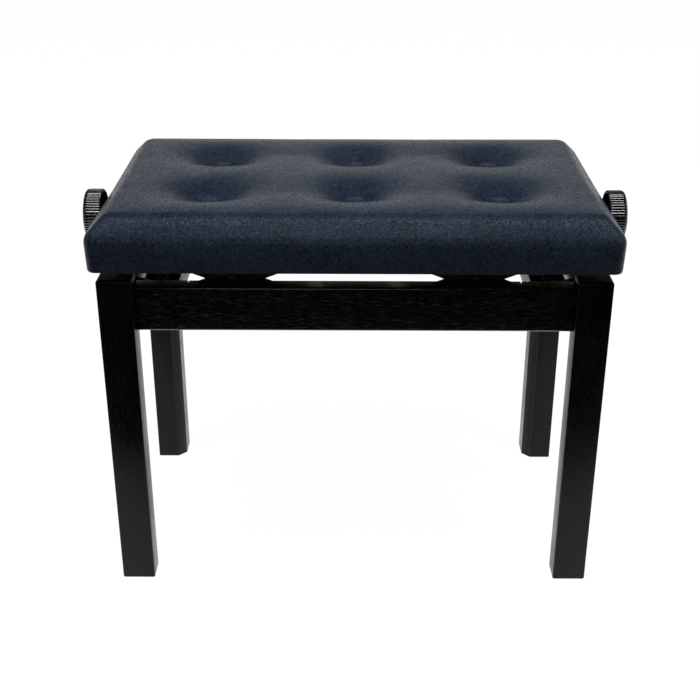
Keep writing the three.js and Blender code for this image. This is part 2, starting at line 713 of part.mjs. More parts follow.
// A knob at +X, hollow on the side of the seat, with a hub that grips the end of the screw.
function knobGeometry() {
  const outX = KNOB_IN_X + KNOB_THICK;
  const faceX = outX - KNOB_FACE;
  const drum = alongX(ribbedOutline(), KNOB_IN_X, outX);
  // The bevel of the outer edge, on a solid a little wider than the ribs so that it only trims them.
  const over = KNOB_RADIUS / Math.cos(Math.PI / KNOB_SIDES);
  const envelope = turned([
    [0, 0],
    [over, 0],
    [over, KNOB_THICK - KNOB_BEVEL],
    [over - KNOB_BEVEL, KNOB_THICK],
    [0, KNOB_THICK],
  ], KNOB_SIDES).rotateY(Math.PI / 2).translate(KNOB_IN_X, 0, UPPER_Z);
  const hollowRing = regularPolygon(0, UPPER_Z, KNOB_RADIUS - KNOB_WALL, KNOB_SIDES);
  hollowRing.holes.push(regularPolygon(0, UPPER_Z, KNOB_HUB_RADIUS, PIN_SIDES));
  const hollow = alongX(hollowRing, KNOB_IN_X - 1, faceX);
  const bore = alongX(holeShape(0, UPPER_Z, SCREW_RADIUS + SEAT_GAP), KNOB_IN_X - 1, faceX);
  const dish = alongX(
    regularPolygon(0, UPPER_Z, KNOB_RADIUS - 2 * KNOB_WALL, KNOB_SIDES), outX - KNOB_FACE / 3, outX + 1,
  );
  return cut(overlapOf(drum, envelope), hollow, bore, dish);
}

for (const [sideName, side] of SIDES) {
  add(`knob_${sideName}`, mirrored(knobGeometry(), side, 1), PLASTIC);
}

// ---------------------------------------------------------------- seat board and rim

function boardOutline() {
  return roundedRectangle(-BOARD_HALF_X, -BOARD_HALF_Y, BOARD_HALF_X, BOARD_HALF_Y, BOARD_CORNER);
}

function longRimGeometry() {
  const band = rectangle(
    -BOARD_HALF_X - 1, BOARD_HALF_Y - RIM_THICK, BOARD_HALF_X + 1, BOARD_HALF_Y + 1,
  );
  return overlapOf(alongZ(boardOutline(), RIM_Z, HUNG_Z), alongZ(band, RIM_Z - 1, HUNG_Z + 1));
}

// A way for the screw through a wall that stands across X: open below, with a round top.
function shaftWay(from, to) {
  const shape = new THREE.Shape();
  shape.moveTo(-SHAFT_NOTCH, COVER_Z - 1);
  shape.lineTo(SHAFT_NOTCH, COVER_Z - 1);
  shape.absarc(0, UPPER_Z, SHAFT_NOTCH, 0, Math.PI, false);
  shape.closePath();
  return alongX(shape, from, to);
}

function sideRimGeometry() {
  const half = BOARD_HALF_Y - RIM_THICK - SEAT_GAP;
  const strip = alongZ(rectangle(BOARD_HALF_X - RIM_THICK, -half, BOARD_HALF_X, half), RIM_Z, HUNG_Z);
  return cut(strip, shaftWay(BOARD_HALF_X - RIM_THICK - 1, BOARD_HALF_X + 1));
}

add('seat_board', alongZ(boardOutline(), BOARD_Z, BOARD_TOP), PLYWOOD);
for (const [endName, end] of ENDS) {
  add(`rim_${endName}`, mirrored(longRimGeometry(), 1, end), PLYWOOD);
}
for (const [sideName, side] of SIDES) {
  add(`rim_${sideName}`, mirrored(sideRimGeometry(), side, 1), PLYWOOD);
}

// ---------------------------------------------------------------- cushion and buttons

const BUTTON_PLACES = [];
for (let row = 0; row < BUTTON_ROWS; row++) {
  for (let column = 0; column < BUTTON_COLUMNS; column++) {
    BUTTON_PLACES.push({
      name: `button_${['front', 'rear'][row]}_${['left', 'middle', 'right'][column]}`,
      x: (column - (BUTTON_COLUMNS - 1) / 2) * BUTTON_SPACING_X,
      y: (row - (BUTTON_ROWS - 1) / 2) * BUTTON_SPACING_Y,
    });
  }
}

// Distance of a point inside the seat's outline from its edge.
function fromSeatEdge(x, y) {
  const inX = SEAT_X / 2 - Math.abs(x);
  const inY = SEAT_Y / 2 - Math.abs(y);
  if (inX >= SEAT_CORNER || inY >= SEAT_CORNER) return Math.min(inX, inY);
  return SEAT_CORNER - Math.hypot(SEAT_CORNER - inX, SEAT_CORNER - inY);
}

// Height above the seat's edge at a distance in from it: round the ridge, up the straight
// shoulder and over the brow to the top.
function crownHeight(inset) {
  const slope = THREE.MathUtils.degToRad(SHOULDER_DEGREES);
  const ridgeEnd = RIDGE_ROUND * (1 - Math.sin(slope));
  const ridgeTop = RIDGE_ROUND * Math.cos(slope);
  const meeting = ridgeEnd + (CROWN_RISE - ridgeTop) / Math.tan(slope);
  const brow = BROW_ROUND * Math.tan(slope / 2);
  if (inset >= meeting + brow) return CROWN_RISE;
  if (inset <= ridgeEnd) return Math.sqrt(RIDGE_ROUND ** 2 - (RIDGE_ROUND - inset) ** 2);
  if (inset <= meeting - brow * Math.cos(slope)) return ridgeTop + (inset - ridgeEnd) * Math.tan(slope);
  return CROWN_RISE - BROW_ROUND + Math.sqrt(BROW_ROUND ** 2 - (meeting + brow - inset) ** 2);
}

// From 1 at a button to nothing between the buttons.
function dimpleShare(x, y) {
  const shares = BUTTON_PLACES.map((button) => {
    const distance = Math.hypot((x - button.x) / DIMPLE_REACH_X, (y - button.y) / DIMPLE_REACH_Y);
    return Math.exp(-(distance ** DIMPLE_POWER));
  });
  return Math.max(...shares);
}

function topHeight(x, y) {
  const swell = (1 - (2 * x / SEAT_X) ** 2) * (1 - (2 * y / SEAT_Y) ** 2);
  const crown = crownHeight(fromSeatEdge(x, y)) + CROWN_SWELL * swell;
  return SEAT_EDGE_Z + crown - DIMPLE_DEPTH * dimpleShare(x, y);
}

function buttonFoot({ x, y }) {
  return topHeight(x, y) + BUTTON_LIFT;
}

// A ring of the cushion: an outline scaled towards the middle, at one height or on the top.
function cushionRing(outline, height, share = 1) {
  return outline.map((point) => {
    const x = point.x * share;
    const y = point.y * share;
    return new THREE.Vector3(x, y, height ?? topHeight(x, y));
  });
}

// The seat's outline moved in, as evenly spread points, with extra ones in the corners.
function cushionOutline(inset) {
  const points = [];
  const halfX = SEAT_X / 2 - inset;
  const halfY = SEAT_Y / 2 - inset;
  const radius = Math.max(SEAT_CORNER - inset, 2);
  const straights = { long: 14, short: 8, corner: 4 };
  const quarter = (cx, cy, from) => {
    for (let i = 0; i <= straights.corner; i++) {
      const angle = from + (i / straights.corner) * (Math.PI / 2);
      points.push(new THREE.Vector2(cx + radius * Math.cos(angle), cy + radius * Math.sin(angle)));
    }
  };
  const run = (x0, y0, x1, y1, count) => {
    for (let i = 1; i < count; i++) {
      const share = i / count;
      points.push(new THREE.Vector2(x0 + (x1 - x0) * share, y0 + (y1 - y0) * share));
    }
  };
  const cx = halfX - radius;
  const cy = halfY - radius;
  quarter(cx, cy, 0);
  run(cx, halfY, -cx, halfY, straights.long);
  quarter(-cx, cy, Math.PI / 2);
  run(-halfX, cy, -halfX, -cy, straights.short);
  quarter(-cx, -cy, Math.PI);
  run(-cx, -halfY, cx, -halfY, straights.long);
  quarter(cx, -cy, 1.5 * Math.PI);
  run(halfX, -cy, halfX, cy, straights.short);
  return points;
}

function cushionGeometry() {
  const insets = [1, 4, 10, 16.5, 22];
  const shares = [1, 0.95, 0.89, 0.83, 0.77, 0.71, 0.65, 0.6, 0.55, 0.5, 0.45, 0.4, 0.34, 0.27, 0.18, 0.09];
  const plateau = cushionOutline(29);
  const body = lofted([
    cushionRing(cushionOutline(COVER_BULGE), COVER_Z),
    cushionRing(cushionOutline(COVER_BULGE / 3), (COVER_Z + SEAT_EDGE_Z) / 2),
    cushionRing(cushionOutline(0), SEAT_EDGE_Z),
    ...insets.map((inset) => cushionRing(cushionOutline(inset))),
    ...shares.map((share) => cushionRing(plateau, undefined, share)),
  ]);
  const inner = roundedRectangle(
    -BOARD_HALF_X - SEAT_GAP, -BOARD_HALF_Y - SEAT_GAP,
    BOARD_HALF_X + SEAT_GAP, BOARD_HALF_Y + SEAT_GAP, BOARD_CORNER + SEAT_GAP,
  );
  const cavity = alongZ(inner, COVER_Z - 1, BOARD_TOP + SEAT_GAP);
  const seats = BUTTON_PLACES.map((place) => alongZ(
    holeShape(place.x, place.y, BUTTON_RADIUS + SEAT_GAP, ROUND_SIDES),
    buttonFoot(place) - SEAT_GAP, SEAT_EDGE_Z + 2 * CROWN_RISE,
  ));
  return cut(body, cavity, shaftWay(-SEAT_X, SEAT_X), ...seats);
}

// A domed button, seated at the bottom of its dimple.
function buttonGeometry(place) {
  return turned([
    [0, 0], [BUTTON_RADIUS, 0], [BUTTON_RADIUS, BUTTON_THICK * 0.5],
    [BUTTON_RADIUS * 0.82, BUTTON_THICK * 0.82], [BUTTON_RADIUS * 0.5, BUTTON_THICK * 0.96],
    [0, BUTTON_THICK],
  ], ROUND_SIDES).translate(place.x, place.y, buttonFoot(place));
}

add('cushion', cushionGeometry(), VINYL);
for (const place of BUTTON_PLACES) add(place.name, buttonGeometry(place), VINYL);

export default bench;
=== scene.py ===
"""An adjustable piano bench, dressed over its packed solids: stained wood, a buttoned seat in
leatherette, and the steel scissor lift with its cross screw and two hand knobs."""

import json
import math

import bmesh
import bpy
from mathutils import Matrix, Vector


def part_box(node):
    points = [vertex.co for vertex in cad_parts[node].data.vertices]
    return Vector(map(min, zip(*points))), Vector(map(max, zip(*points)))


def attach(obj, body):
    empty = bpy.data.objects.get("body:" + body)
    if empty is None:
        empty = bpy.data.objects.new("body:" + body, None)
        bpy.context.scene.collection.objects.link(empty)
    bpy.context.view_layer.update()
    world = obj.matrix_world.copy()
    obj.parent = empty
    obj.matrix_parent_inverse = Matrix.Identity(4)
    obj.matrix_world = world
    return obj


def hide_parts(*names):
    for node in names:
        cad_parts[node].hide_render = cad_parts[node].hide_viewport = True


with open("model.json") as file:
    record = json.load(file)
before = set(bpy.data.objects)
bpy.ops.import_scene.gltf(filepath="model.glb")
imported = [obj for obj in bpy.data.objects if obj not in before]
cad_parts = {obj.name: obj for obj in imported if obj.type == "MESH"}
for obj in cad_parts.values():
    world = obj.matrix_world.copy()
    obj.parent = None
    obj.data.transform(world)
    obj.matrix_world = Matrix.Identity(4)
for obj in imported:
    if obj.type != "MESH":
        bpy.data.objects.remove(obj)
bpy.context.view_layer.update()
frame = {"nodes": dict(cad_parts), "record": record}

bl_info = {
    "name": "Adjustable Piano Bench",
    "version": (1, 0, 0),
    "blender": (4, 5, 0),
    "location": "3D View > Sidebar > Piano Bench",
    "description": "Dresses the solids of an adjustable piano bench",
    "category": "Object",
}

SIDES = (("left", -1), ("right", 1))
ENDS = (("front", -1), ("rear", 1))
CORNERS = tuple(f"{end}_{side}" for end, _ in ENDS for side, _ in SIDES)
COLUMNS = ("left", "middle", "right")
BUTTONS = tuple(f"button_{end}_{column}" for end, _ in ENDS for column in COLUMNS)
DOWN = (0, 0, -1)

BODY_OF = {
    node: body
    for body, nodes in frame["record"]["behaviour"]["bodies"].items()
    for node in nodes
}


# ---------------------------------------------------------------- settings


def length(name, description, default, least=0.0):
    return bpy.props.FloatProperty(
        name=name, description=description, default=default, min=least, precision=5,
        subtype="DISTANCE", unit="LENGTH",
    )


def share(name, description, default):
    return bpy.props.FloatProperty(
        name=name, description=description, default=default, min=0.0, max=1.0, subtype="FACTOR",
    )


def number(name, description, default):
    return bpy.props.FloatProperty(name=name, description=description, default=default, min=0.0)


def angle(name, description, degrees):
    return bpy.props.FloatProperty(
        name=name, description=description, default=math.radians(degrees), min=0.0, subtype="ANGLE",
        unit="ROTATION",
    )


def count(name, description, default):
    return bpy.props.IntProperty(name=name, description=description, default=default, min=1)


def colour(name, description, default):
    return bpy.props.FloatVectorProperty(
        name=name, description=description, default=default, min=0.0, max=1.0,
        size=3, subtype="COLOR",
    )


class BenchFrameSettings(bpy.types.PropertyGroup):
    """Wooden frame and its fittings"""

    stain: colour("Stain", "Colour of the stained wood", (0.0012, 0.0006, 0.0006))
    figure: colour("Figure", "Colour of the lighter streaks in the wood", (0.006, 0.0028, 0.0026))
    # Painted highlight: pale dashes along the grain, standing for light caught on the raised grain.
    glint: colour("Grain filler", "Colour of the dry filler in the open pores", (0.2, 0.11, 0.1))
    # Rubbed edge: real edge wear, and partly a painted highlight along the edges.
    bare_edge_and_highlight: colour("Rubbed edge", "Colour where an edge is rubbed", (0.035, 0.02, 0.016))
    pore_length: length("Pore length", "Length of the open pores along the grain", 0.016)
    edge_round: length("Edge rounding", "Rounding of the wooden edges", 0.0011)
    felt: colour("Foot pad", "Colour of the foot glides", (0.045, 0.038, 0.032))
    screw_radius: length("Screw head radius", "Radius of the heads that hold the steelwork", 0.0037)


class BenchLiftSettings(bpy.types.PropertyGroup):
    """Scissor lift, cross screw and knobs"""

    enamel: colour("Enamel", "Colour of the black enamel on the steel", (0.0075, 0.0078, 0.0088))
    plating: colour("Plating", "Colour of the yellow passivated zinc", (0.62, 0.5, 0.27))
    edge_round: length("Edge rounding", "Rounding of the steel edges", 0.0005)
    thread_lead: length("Thread lead", "Travel of a nut bar for one turn", 0.006)
    thread_starts: count("Thread starts", "Number of thread ridges side by side", 2)
    thread_depth: length("Thread depth", "Height of a thread ridge", 0.0009)
    knob_plastic: colour("Knob", "Colour of the knobs", (0.004, 0.004, 0.0045))
    rib_count: count("Ribs", "Number of ribs round a knob", 56)
    rib_depth: length("Rib depth", "Depth of the grooves between the ribs", 0.0011)
    rib_share: share("Rib share", "Width of a rib as a share of the rib spacing", 0.68)
    rib_bend: angle("Rib bend", "How far a rib's crest bends down to either side", 38.0)


class BenchSeatSettings(bpy.types.PropertyGroup):
    """Upholstered seat"""

    leatherette: colour("Leatherette", "Colour of the cover", (0.0016, 0.0072, 0.02))
    leatherette_worn: colour("Leatherette tops", "Colour of the grain tops", (0.038, 0.062, 0.104))
    pebble: length("Pebble size", "Size of the cover's embossed grain", 0.0016)
    edge_rise: length("Edge rise", "From the board to where the side rounds over", 0.0075)
    crown_rise: length("Crown rise", "Top of the cushion above that edge", 0.0237)
    swell: length("Swell", "Middle of the cushion above the rest of the top", 0.001)
    corner: length("Corner radius", "Rounding of the corners seen from above", 0.01)
    ridge_radius: length("Ridge radius", "Rounding between the side and the shoulder", 0.0055)
    brow_radius: length("Brow radius", "Rounding between the shoulder and the top", 0.009)
    shoulder_slope: angle("Shoulder slope", "Slope of the straight part of the shoulder", 48.0)
    dimple_depth: length("Dimple depth", "Depth of a dimple under its button", 0.02)
    dimple_reach_x: length("Dimple reach, lengthwise", "Where two thirds of it are gone", 0.033)
    dimple_reach_y: length("Dimple reach, crosswise", "Where two thirds of it are gone", 0.024)
    dimple_power: number("Dimple power", "1 is a cusp, 2 a rounded bowl", 1.75)
    button_rise: length("Button rise", "How far the filling lifts a button off its place", 0.001)
    pressure: number("Filling pressure", "How hard the filling pushes the cover out", 4.0)
    stretch_top: length("Stretch of the top", "Most that the filling may push the top out", 0.0015)
    stretch_side: length("Stretch of the sides", "Most that the filling may push a side out", 0.001)
    side_swell: length("Side swell", "How far a side stands out over its hem", 0.0013)
    plywood: colour("Plywood", "Colour of the seat board", (0.42, 0.27, 0.13))
    plywood_dark: colour("Plywood, dark layer", "Colour of every other layer", (0.2, 0.11, 0.05))
    staple_pitch: length("Staple pitch", "Distance between the staples in the hem", 0.021)


class BenchStageSettings(bpy.types.PropertyGroup):
    """Floor, lamps and surroundings"""

    floor: colour("Floor", "Colour of the floor", (0.08, 0.08, 0.08))
    floor_glow: share("Floor glow", "Brightness of the floor to the camera before lamps", 0.99)
    sweep_end: length("Sweep end", "Where the white sweep ends, as reflections show it", -0.4, -9.0)
    front_power: number("Front lamp", "Power of the lamp in front, in watts", 3.8)
    top_power: number("Top lamp", "Power of the lamp overhead, in watts", 36.0)
    side_power: number("Side lamp", "Power of the lamp at the side, in watts", 6.0)
    surround: number("Surround", "Brightness of the room on matt surfaces", 0.012)


GROUPS = (
    ("bench_frame", BenchFrameSettings),
    ("bench_lift", BenchLiftSettings),
    ("bench_seat", BenchSeatSettings),
    ("bench_stage", BenchStageSettings),
)


# ---------------------------------------------------------------- meshes

SAME_POINT = 2e-6
FLAT_WITHIN = math.radians(0.5)
ROUNDED_FROM = math.radians(38)
ON_AXIS = 1e-7


def link(name, data):
    thing = bpy.data.objects.new(name, data)
    bpy.context.scene.collection.objects.link(thing)
    return thing


def written(form, mesh):
    """The mesh with the form's shape; the form goes."""
    form.to_mesh(mesh)
    form.free()
    return mesh


def mesh_from(form, name):
    return written(form, bpy.data.meshes.new(name))


def outward(form):
    """The form with its faces turned outwards."""
    bmesh.ops.recalc_face_normals(form, faces=form.faces)
    return form


def form_of(mesh):
    form = bmesh.new()
    form.from_mesh(mesh)
    return form


def evaluated(holder):
    """The holder's shape with its modifiers, as a plain mesh; the holder goes."""
    bpy.context.view_layer.update()
    depsgraph = bpy.context.evaluated_depsgraph_get()
    mesh = bpy.data.meshes.new_from_object(holder.evaluated_get(depsgraph))
    bpy.data.objects.remove(holder)
    return mesh


def shade(mesh, crisp_degrees=35.0):
    """Smooth faces, with crisp edges where two faces meet at more than the angle."""
    form = form_of(mesh)
    limit = math.radians(crisp_degrees)
    for face in form.faces:
        face.smooth = True
    for edge in form.edges:
        edge.smooth = len(edge.link_faces) == 2 and edge.calc_face_angle(0.0) < limit
    return written(form, mesh)


def finished(name, mesh, material, body, slot, *nodes):
    """A piece of the bench, which rides on a body and may stand for solids."""
    mesh.name = name
    mesh.materials.clear()
    mesh.materials.append(material)
    piece = link(name, mesh)
    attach(piece, body)
    if nodes:
        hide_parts(*nodes)
    return piece


def rounded_copy(node, radius, segments):
    """A solid's mesh with its flat faces made whole and its edges rounded."""
    form = form_of(frame["nodes"][node].data)
    bmesh.ops.remove_doubles(form, verts=form.verts, dist=SAME_POINT)
    bmesh.ops.dissolve_limit(form, angle_limit=FLAT_WITHIN, verts=form.verts, edges=form.edges)
    holder = link(f"{node}_draft", mesh_from(form, f"{node}_draft"))
    if radius > 0:
        rounding = holder.modifiers.new("Rounding", "BEVEL")
        rounding.width = radius
        rounding.segments = segments
        rounding.limit_method = "ANGLE"
        rounding.angle_limit = ROUNDED_FROM
    return evaluated(holder)


def dressed(node, suffix, material, slot, radius, segments=2):
    """A piece that takes its shape from one solid, with its edges rounded."""
    mesh = shade(rounded_copy(node, radius, segments))
    return finished(f"{node}_{suffix}", mesh, material, BODY_OF[node], slot, node)


def prism(outline, low, high):
    """A closed upright prism on an anticlockwise outline."""
    form = bmesh.new()
    floor = form.faces.new([form.verts.new((x, y, low)) for x, y in outline])
    grown = bmesh.ops.extrude_face_region(form, geom=[floor])["geom"]
    raised = [item for item in grown if isinstance(item, bmesh.types.BMVert)]
    bmesh.ops.translate(form, verts=raised, vec=(0, 0, high - low))
    return mesh_from(outward(form), "prism")


def rounded_outline(half_x, half_y, radius, long_steps, short_steps, corner_steps):
    """Points anticlockwise round a rectangle with round corners, always as many."""
    points = []
    corners = ((1, 1, 0.0), (-1, 1, 0.5), (-1, -1, 1.0), (1, -1, 1.5))
    steps = (long_steps, short_steps, long_steps, short_steps)
    for corner, (sx, sy, turn) in enumerate(corners):
        for step in range(corner_steps + 1):
            angle = (turn + 0.5 * step / corner_steps) * math.pi
            points.append((
                sx * (half_x - radius) + radius * math.cos(angle),
                sy * (half_y - radius) + radius * math.sin(angle),
            ))
        start = Vector(points[-1])
        nx, ny, next_turn = corners[(corner + 1) % 4]
        goal = Vector((
            nx * (half_x - radius) + radius * math.cos(next_turn * math.pi),
            ny * (half_y - radius) + radius * math.sin(next_turn * math.pi),
        ))
        for step in range(1, steps[corner]):
            points.append(tuple(start.lerp(goal, step / steps[corner])))
    return points


def lofted(rings, name):
    """A closed shell through rings of equal counts, with a flat face on both ends."""
    form = bmesh.new()
    rows = [[form.verts.new(point) for point in ring] for ring in rings]
    for lower, upper in zip(rows, rows[1:]):
        for i, corner in enumerate(lower):
            j = (i + 1) % len(lower)
            form.faces.new((corner, lower[j], upper[j], upper[i]))
    form.faces.new(list(reversed(rows[0])))
    form.faces.new(rows[-1])
    return mesh_from(form, name)


def turned(profile, steps, name):
    """A closed shape of revolution about Z from (radius, height) pairs, axis to axis."""
    form = bmesh.new()
    rows = []
    for radius, height in profile:
        if radius < ON_AXIS:
            rows.append([form.verts.new((0, 0, height))])
            continue
        turns = [2 * math.pi * i / steps for i in range(steps)]
        ring = [(radius * math.cos(t), radius * math.sin(t), height) for t in turns]
        rows.append([form.verts.new(point) for point in ring])
    for lower, upper in zip(rows, rows[1:]):
        for i in range(steps):
            j = (i + 1) % steps
            around = [lower[i % len(lower)], lower[j % len(lower)]]
            around += [upper[j % len(upper)], upper[i % len(upper)]]
            form.faces.new(list(dict.fromkeys(around)))
    return mesh_from(outward(form), name)


# ---------------------------------------------------------------- geometry node trees


class TreeMaker:
    """Adds nodes to a tree and links or fills their inputs by name or place."""

    def __init__(self, tree):
        self.tree = tree

    def add(self, kind, inputs=None, **settings):
        node = self.tree.nodes.new(kind)
        for key, value in settings.items():
            setattr(node, key, value)
        for key, value in (inputs or {}).items():
            self.fill(node.inputs[key], value)
        return node

    def fill(self, socket, value):
        if isinstance(value, bpy.types.Node):
            value = value.outputs[0]
        if isinstance(value, bpy.types.NodeSocket):
            self.tree.links.new(value, socket)
        else:
            socket.default_value = value

    def math(self, operation, first, second=None):
        values = {0: first} if second is None else {0: first, 1: second}
        return self.add("ShaderNodeMath", values, operation=operation)

    def times(self, first, second):
        return self.math("MULTIPLY", first, second)

    def vector(self, operation, first, second=None):
        values = {0: first} if second is None else {0: first, 1: second}
        return self.add("ShaderNodeVectorMath", values, operation=operation)

    def scaled(self, vector, factor):
        node = self.vector("SCALE", vector)
        self.fill(node.inputs["Scale"], factor)
        return node

    def parts(self, vector):
        """The X, Y and Z of a vector."""
        return self.add("ShaderNodeSeparateXYZ", {0: vector}).outputs

    def noise(self, vector, scale, detail, distortion=0.0):
        inputs = {"Vector": vector, "Scale": scale, "Detail": detail, "Distortion": distortion}
        return self.add("ShaderNodeTexNoise", inputs).outputs["Fac"]

    def remap(self, value, low, high, to_low=0.0, to_high=1.0):
        """Eases a value from one range into another."""
        ranges = {
            "Value": value, "From Min": low, "From Max": high, "To Min": to_low, "To Max": to_high,
        }
        return self.add("ShaderNodeMapRange", ranges, interpolation_type="SMOOTHSTEP")

    def mix(self, factor, first, second):
        node = self.add("ShaderNodeMix", data_type="RGBA")
        self.fill(node.inputs[0], factor)
        self.fill(node.inputs[6], first)
        self.fill(node.inputs[7], second)
        return node.outputs[2]


def geometry_tree(name, inputs):
    """A new tree with a geometry going in and out, and named inputs."""
    tree = bpy.data.node_groups.new(name, "GeometryNodeTree")
    tree.interface.new_socket(name="Geometry", in_out="INPUT", socket_type="NodeSocketGeometry")
    tree.interface.new_socket(name="Geometry", in_out="OUTPUT", socket_type="NodeSocketGeometry")
    for label, kind in inputs:
        tree.interface.new_socket(name=label, in_out="INPUT", socket_type=f"NodeSocket{kind}")
    maker = TreeMaker(tree)
    entry = maker.add("NodeGroupInput")
    return maker, entry.outputs


def close_tree(maker, geometry, material):
    """Ends a tree: real geometry with the given material."""
    real = maker.add("GeometryNodeRealizeInstances", {"Geometry": geometry})
    coated = maker.add("GeometryNodeSetMaterial", {"Geometry": real, "Material": material})
    maker.add("NodeGroupOutput", {0: coated})


def grown(holder, tree, values):
    """The holder's shape after a geometry tree, as a plain mesh."""
    modifier = holder.modifiers.new(tree.name, "NODES")
    modifier.node_group = tree
    for item in tree.interface.items_tree:
        if item.item_type == "SOCKET" and item.in_out == "INPUT" and item.name in values:
            modifier[item.identifier] = values[item.name]
    return evaluated(holder)


def scatter_tree():
    """Copies of a small part, such as a screw head, on points that carry an aim."""
    name = "Fasteners on points"
    if name in bpy.data.node_groups:
        return bpy.data.node_groups[name]
    maker, entry = geometry_tree(name, (
        ("Part", "Object"), ("Size", "Float"), ("Spin", "Float"), ("Seed", "Int"),
        ("Material", "Material"),
    ))
    part = maker.add("GeometryNodeObjectInfo", {"Object": entry["Part"]})
    aim, along = (
        maker.add("GeometryNodeInputNamedAttribute", {"Name": label}, data_type="FLOAT_VECTOR")
        for label in ("aim", "along")
    )
    upright = maker.add("FunctionNodeAlignRotationToVector", {"Vector": aim}, axis="Z")
    facing = maker.add(
        "FunctionNodeAlignRotationToVector", {"Rotation": upright, "Vector": along},
        axis="X", pivot_axis="Z",
    )
    angle = maker.add("FunctionNodeRandomValue", data_type="FLOAT")
    low = maker.times(entry["Spin"], -1.0)
    for key, value in (("Min", low), ("Max", entry["Spin"]), ("Seed", entry["Seed"])):
        sockets = [s for s in angle.inputs if s.name == key and s.enabled]
        maker.fill(sockets[0], value)
    spun = maker.add("FunctionNodeAxisAngleToRotation", {"Axis": (0, 0, 1)})
    maker.fill(spun.inputs["Angle"], [s for s in angle.outputs if s.enabled][0])
    turn = maker.add("FunctionNodeRotateRotation", {0: facing, 1: spun}, rotation_space="LOCAL")
    copies = maker.add("GeometryNodeInstanceOnPoints", {
        "Points": entry["Geometry"], "Instance": part.outputs["Geometry"],
        "Rotation": turn, "Scale": entry["Size"],
    })
    close_tree(maker, copies, entry["Material"])
    return maker.tree


def scattered(name, part_mesh, places, material, body, slot, size=1.0, spin=0.0, seed=1):
    """One piece made of copies of a part; places are (point, aim, along)."""
    mesh = bpy.data.meshes.new(f"{name}_points")
    mesh.from_pydata([place[0] for place in places], [], [])
    for index, label in ((1, "aim"), (2, "along")):
        layer = mesh.attributes.new(label, "FLOAT_VECTOR", "POINT")
        layer.data.foreach_set("vector", [value for place in places for value in place[index]])
    part = link(f"{name}_part", part_mesh)
    values = {"Part": part, "Size": size, "Spin": spin, "Seed": seed, "Material": material}
    result = grown(link(f"{name}_places", mesh), scatter_tree(), values)
    bpy.data.objects.remove(part)
    return finished(name, shade(result), material, body, slot)


# ---------------------------------------------------------------- shader groups


def shader_group(name, sizes, outputs, build):
    """A shader group on a vector, with named sizes and values out, built only once."""
    if name in bpy.data.node_groups:
        return bpy.data.node_groups[name]
    tree = bpy.data.node_groups.new(name, "ShaderNodeTree")
    tree.interface.new_socket(name="Vector", in_out="INPUT", socket_type="NodeSocketVector")
    kind = "NodeSocketFloat"
    for label, default in sizes.items():
        socket = tree.interface.new_socket(name=label, in_out="INPUT", socket_type=kind)
        socket.default_value = default
    for label in outputs:
        tree.interface.new_socket(name=label, in_out="OUTPUT", socket_type=kind)
    maker = TreeMaker(tree)
    maker.add("NodeGroupOutput", build(maker, maker.add("NodeGroupInput").outputs))
    return tree


def pebble_group():
    """Embossed grain: low pebbles with creases between them."""

    def build(maker, entry):
        place = entry["Vector"]
        scale = maker.math("DIVIDE", 1.0, entry["Size"])
        wobble = maker.add("ShaderNodeTexNoise", {"Vector": place, "Scale": 240.0, "Detail": 1.0})
        shift = maker.vector("MULTIPLY", wobble.outputs["Color"], (0.0012, 0.0012, 0.0012))
        cells_at = {"Vector": maker.vector("ADD", place, shift), "Scale": scale}
        edges = maker.add("ShaderNodeTexVoronoi", cells_at, feature="DISTANCE_TO_EDGE")
        crease = maker.remap(edges.outputs["Distance"], 0.0, 0.16, 1.0, 0.0)
        cells = maker.add("ShaderNodeTexVoronoi", cells_at)
        tone = maker.add("ShaderNodeSeparateColor", {0: cells.outputs["Color"]}).outputs[0]
        fine = maker.noise(place, 1900.0, 2.0)
        height = maker.math("SUBTRACT", maker.times(fine, 0.35), crease)
        return {"Height": height, "Crease": crease, "Tone": tone}

    return shader_group("Pebble grain", {"Size": 0.0015}, ("Height", "Crease", "Tone"), build)


def grain_group():
    """Wood along the vector's Z: broad figure, fine fibres, open pores, and dashes that carry
    painted glints.
    """

    def build(maker, entry):
        squeeze = maker.math("DIVIDE", 0.0012, entry["Pore Length"])
        stretch = maker.add("ShaderNodeCombineXYZ", {"X": 1.0, "Y": 1.0, "Z": squeeze})
        along = maker.vector("MULTIPLY", entry["Vector"], stretch)
        broad = maker.noise(along, 45.0, 3.0, 0.6)
        fibre = maker.noise(along, 600.0, 3.0)
        pores = maker.remap(maker.noise(along, 1150.0, 1.0), 0.58, 0.68)
        glint_mask = maker.remap(maker.noise(along, 1050.0, 1.0), 0.57, 0.72)
        return {
            "Figure": maker.remap(broad, 0.36, 0.7),
            "Fibre": fibre,
            "Pores": pores,
            "Dashes": maker.times(glint_mask, maker.remap(broad, 0.35, 0.65, 0.35, 1.0)),
            "Height": maker.math("SUBTRACT", maker.times(fibre, 0.4), pores),
        }

    outputs = ("Figure", "Fibre", "Pores", "Dashes", "Height")
    return shader_group("Wood grain", {"Pore Length": 0.015}, outputs, build)


def wear_group():
    """A mask that follows the edges, broken up by noise."""

    def build(maker, entry):
        rounded = maker.add("ShaderNodeBevel", {"Radius": entry["Width"]}, samples=4)
        facing = maker.add("ShaderNodeNewGeometry").outputs["Normal"]
        match = maker.vector("DOT_PRODUCT", rounded, facing).outputs["Value"]
        edge = maker.remap(match, 0.995, 0.86)
        patchy = maker.remap(maker.noise(entry["Vector"], entry["Breakup"], 4.0), 0.42, 0.62)
        return {"Wear": maker.times(edge, patchy), "Edge": edge}

    sizes = {"Width": 0.001, "Breakup": 120.0}
    return shader_group("Edge wear", sizes, ("Wear", "Edge"), build)


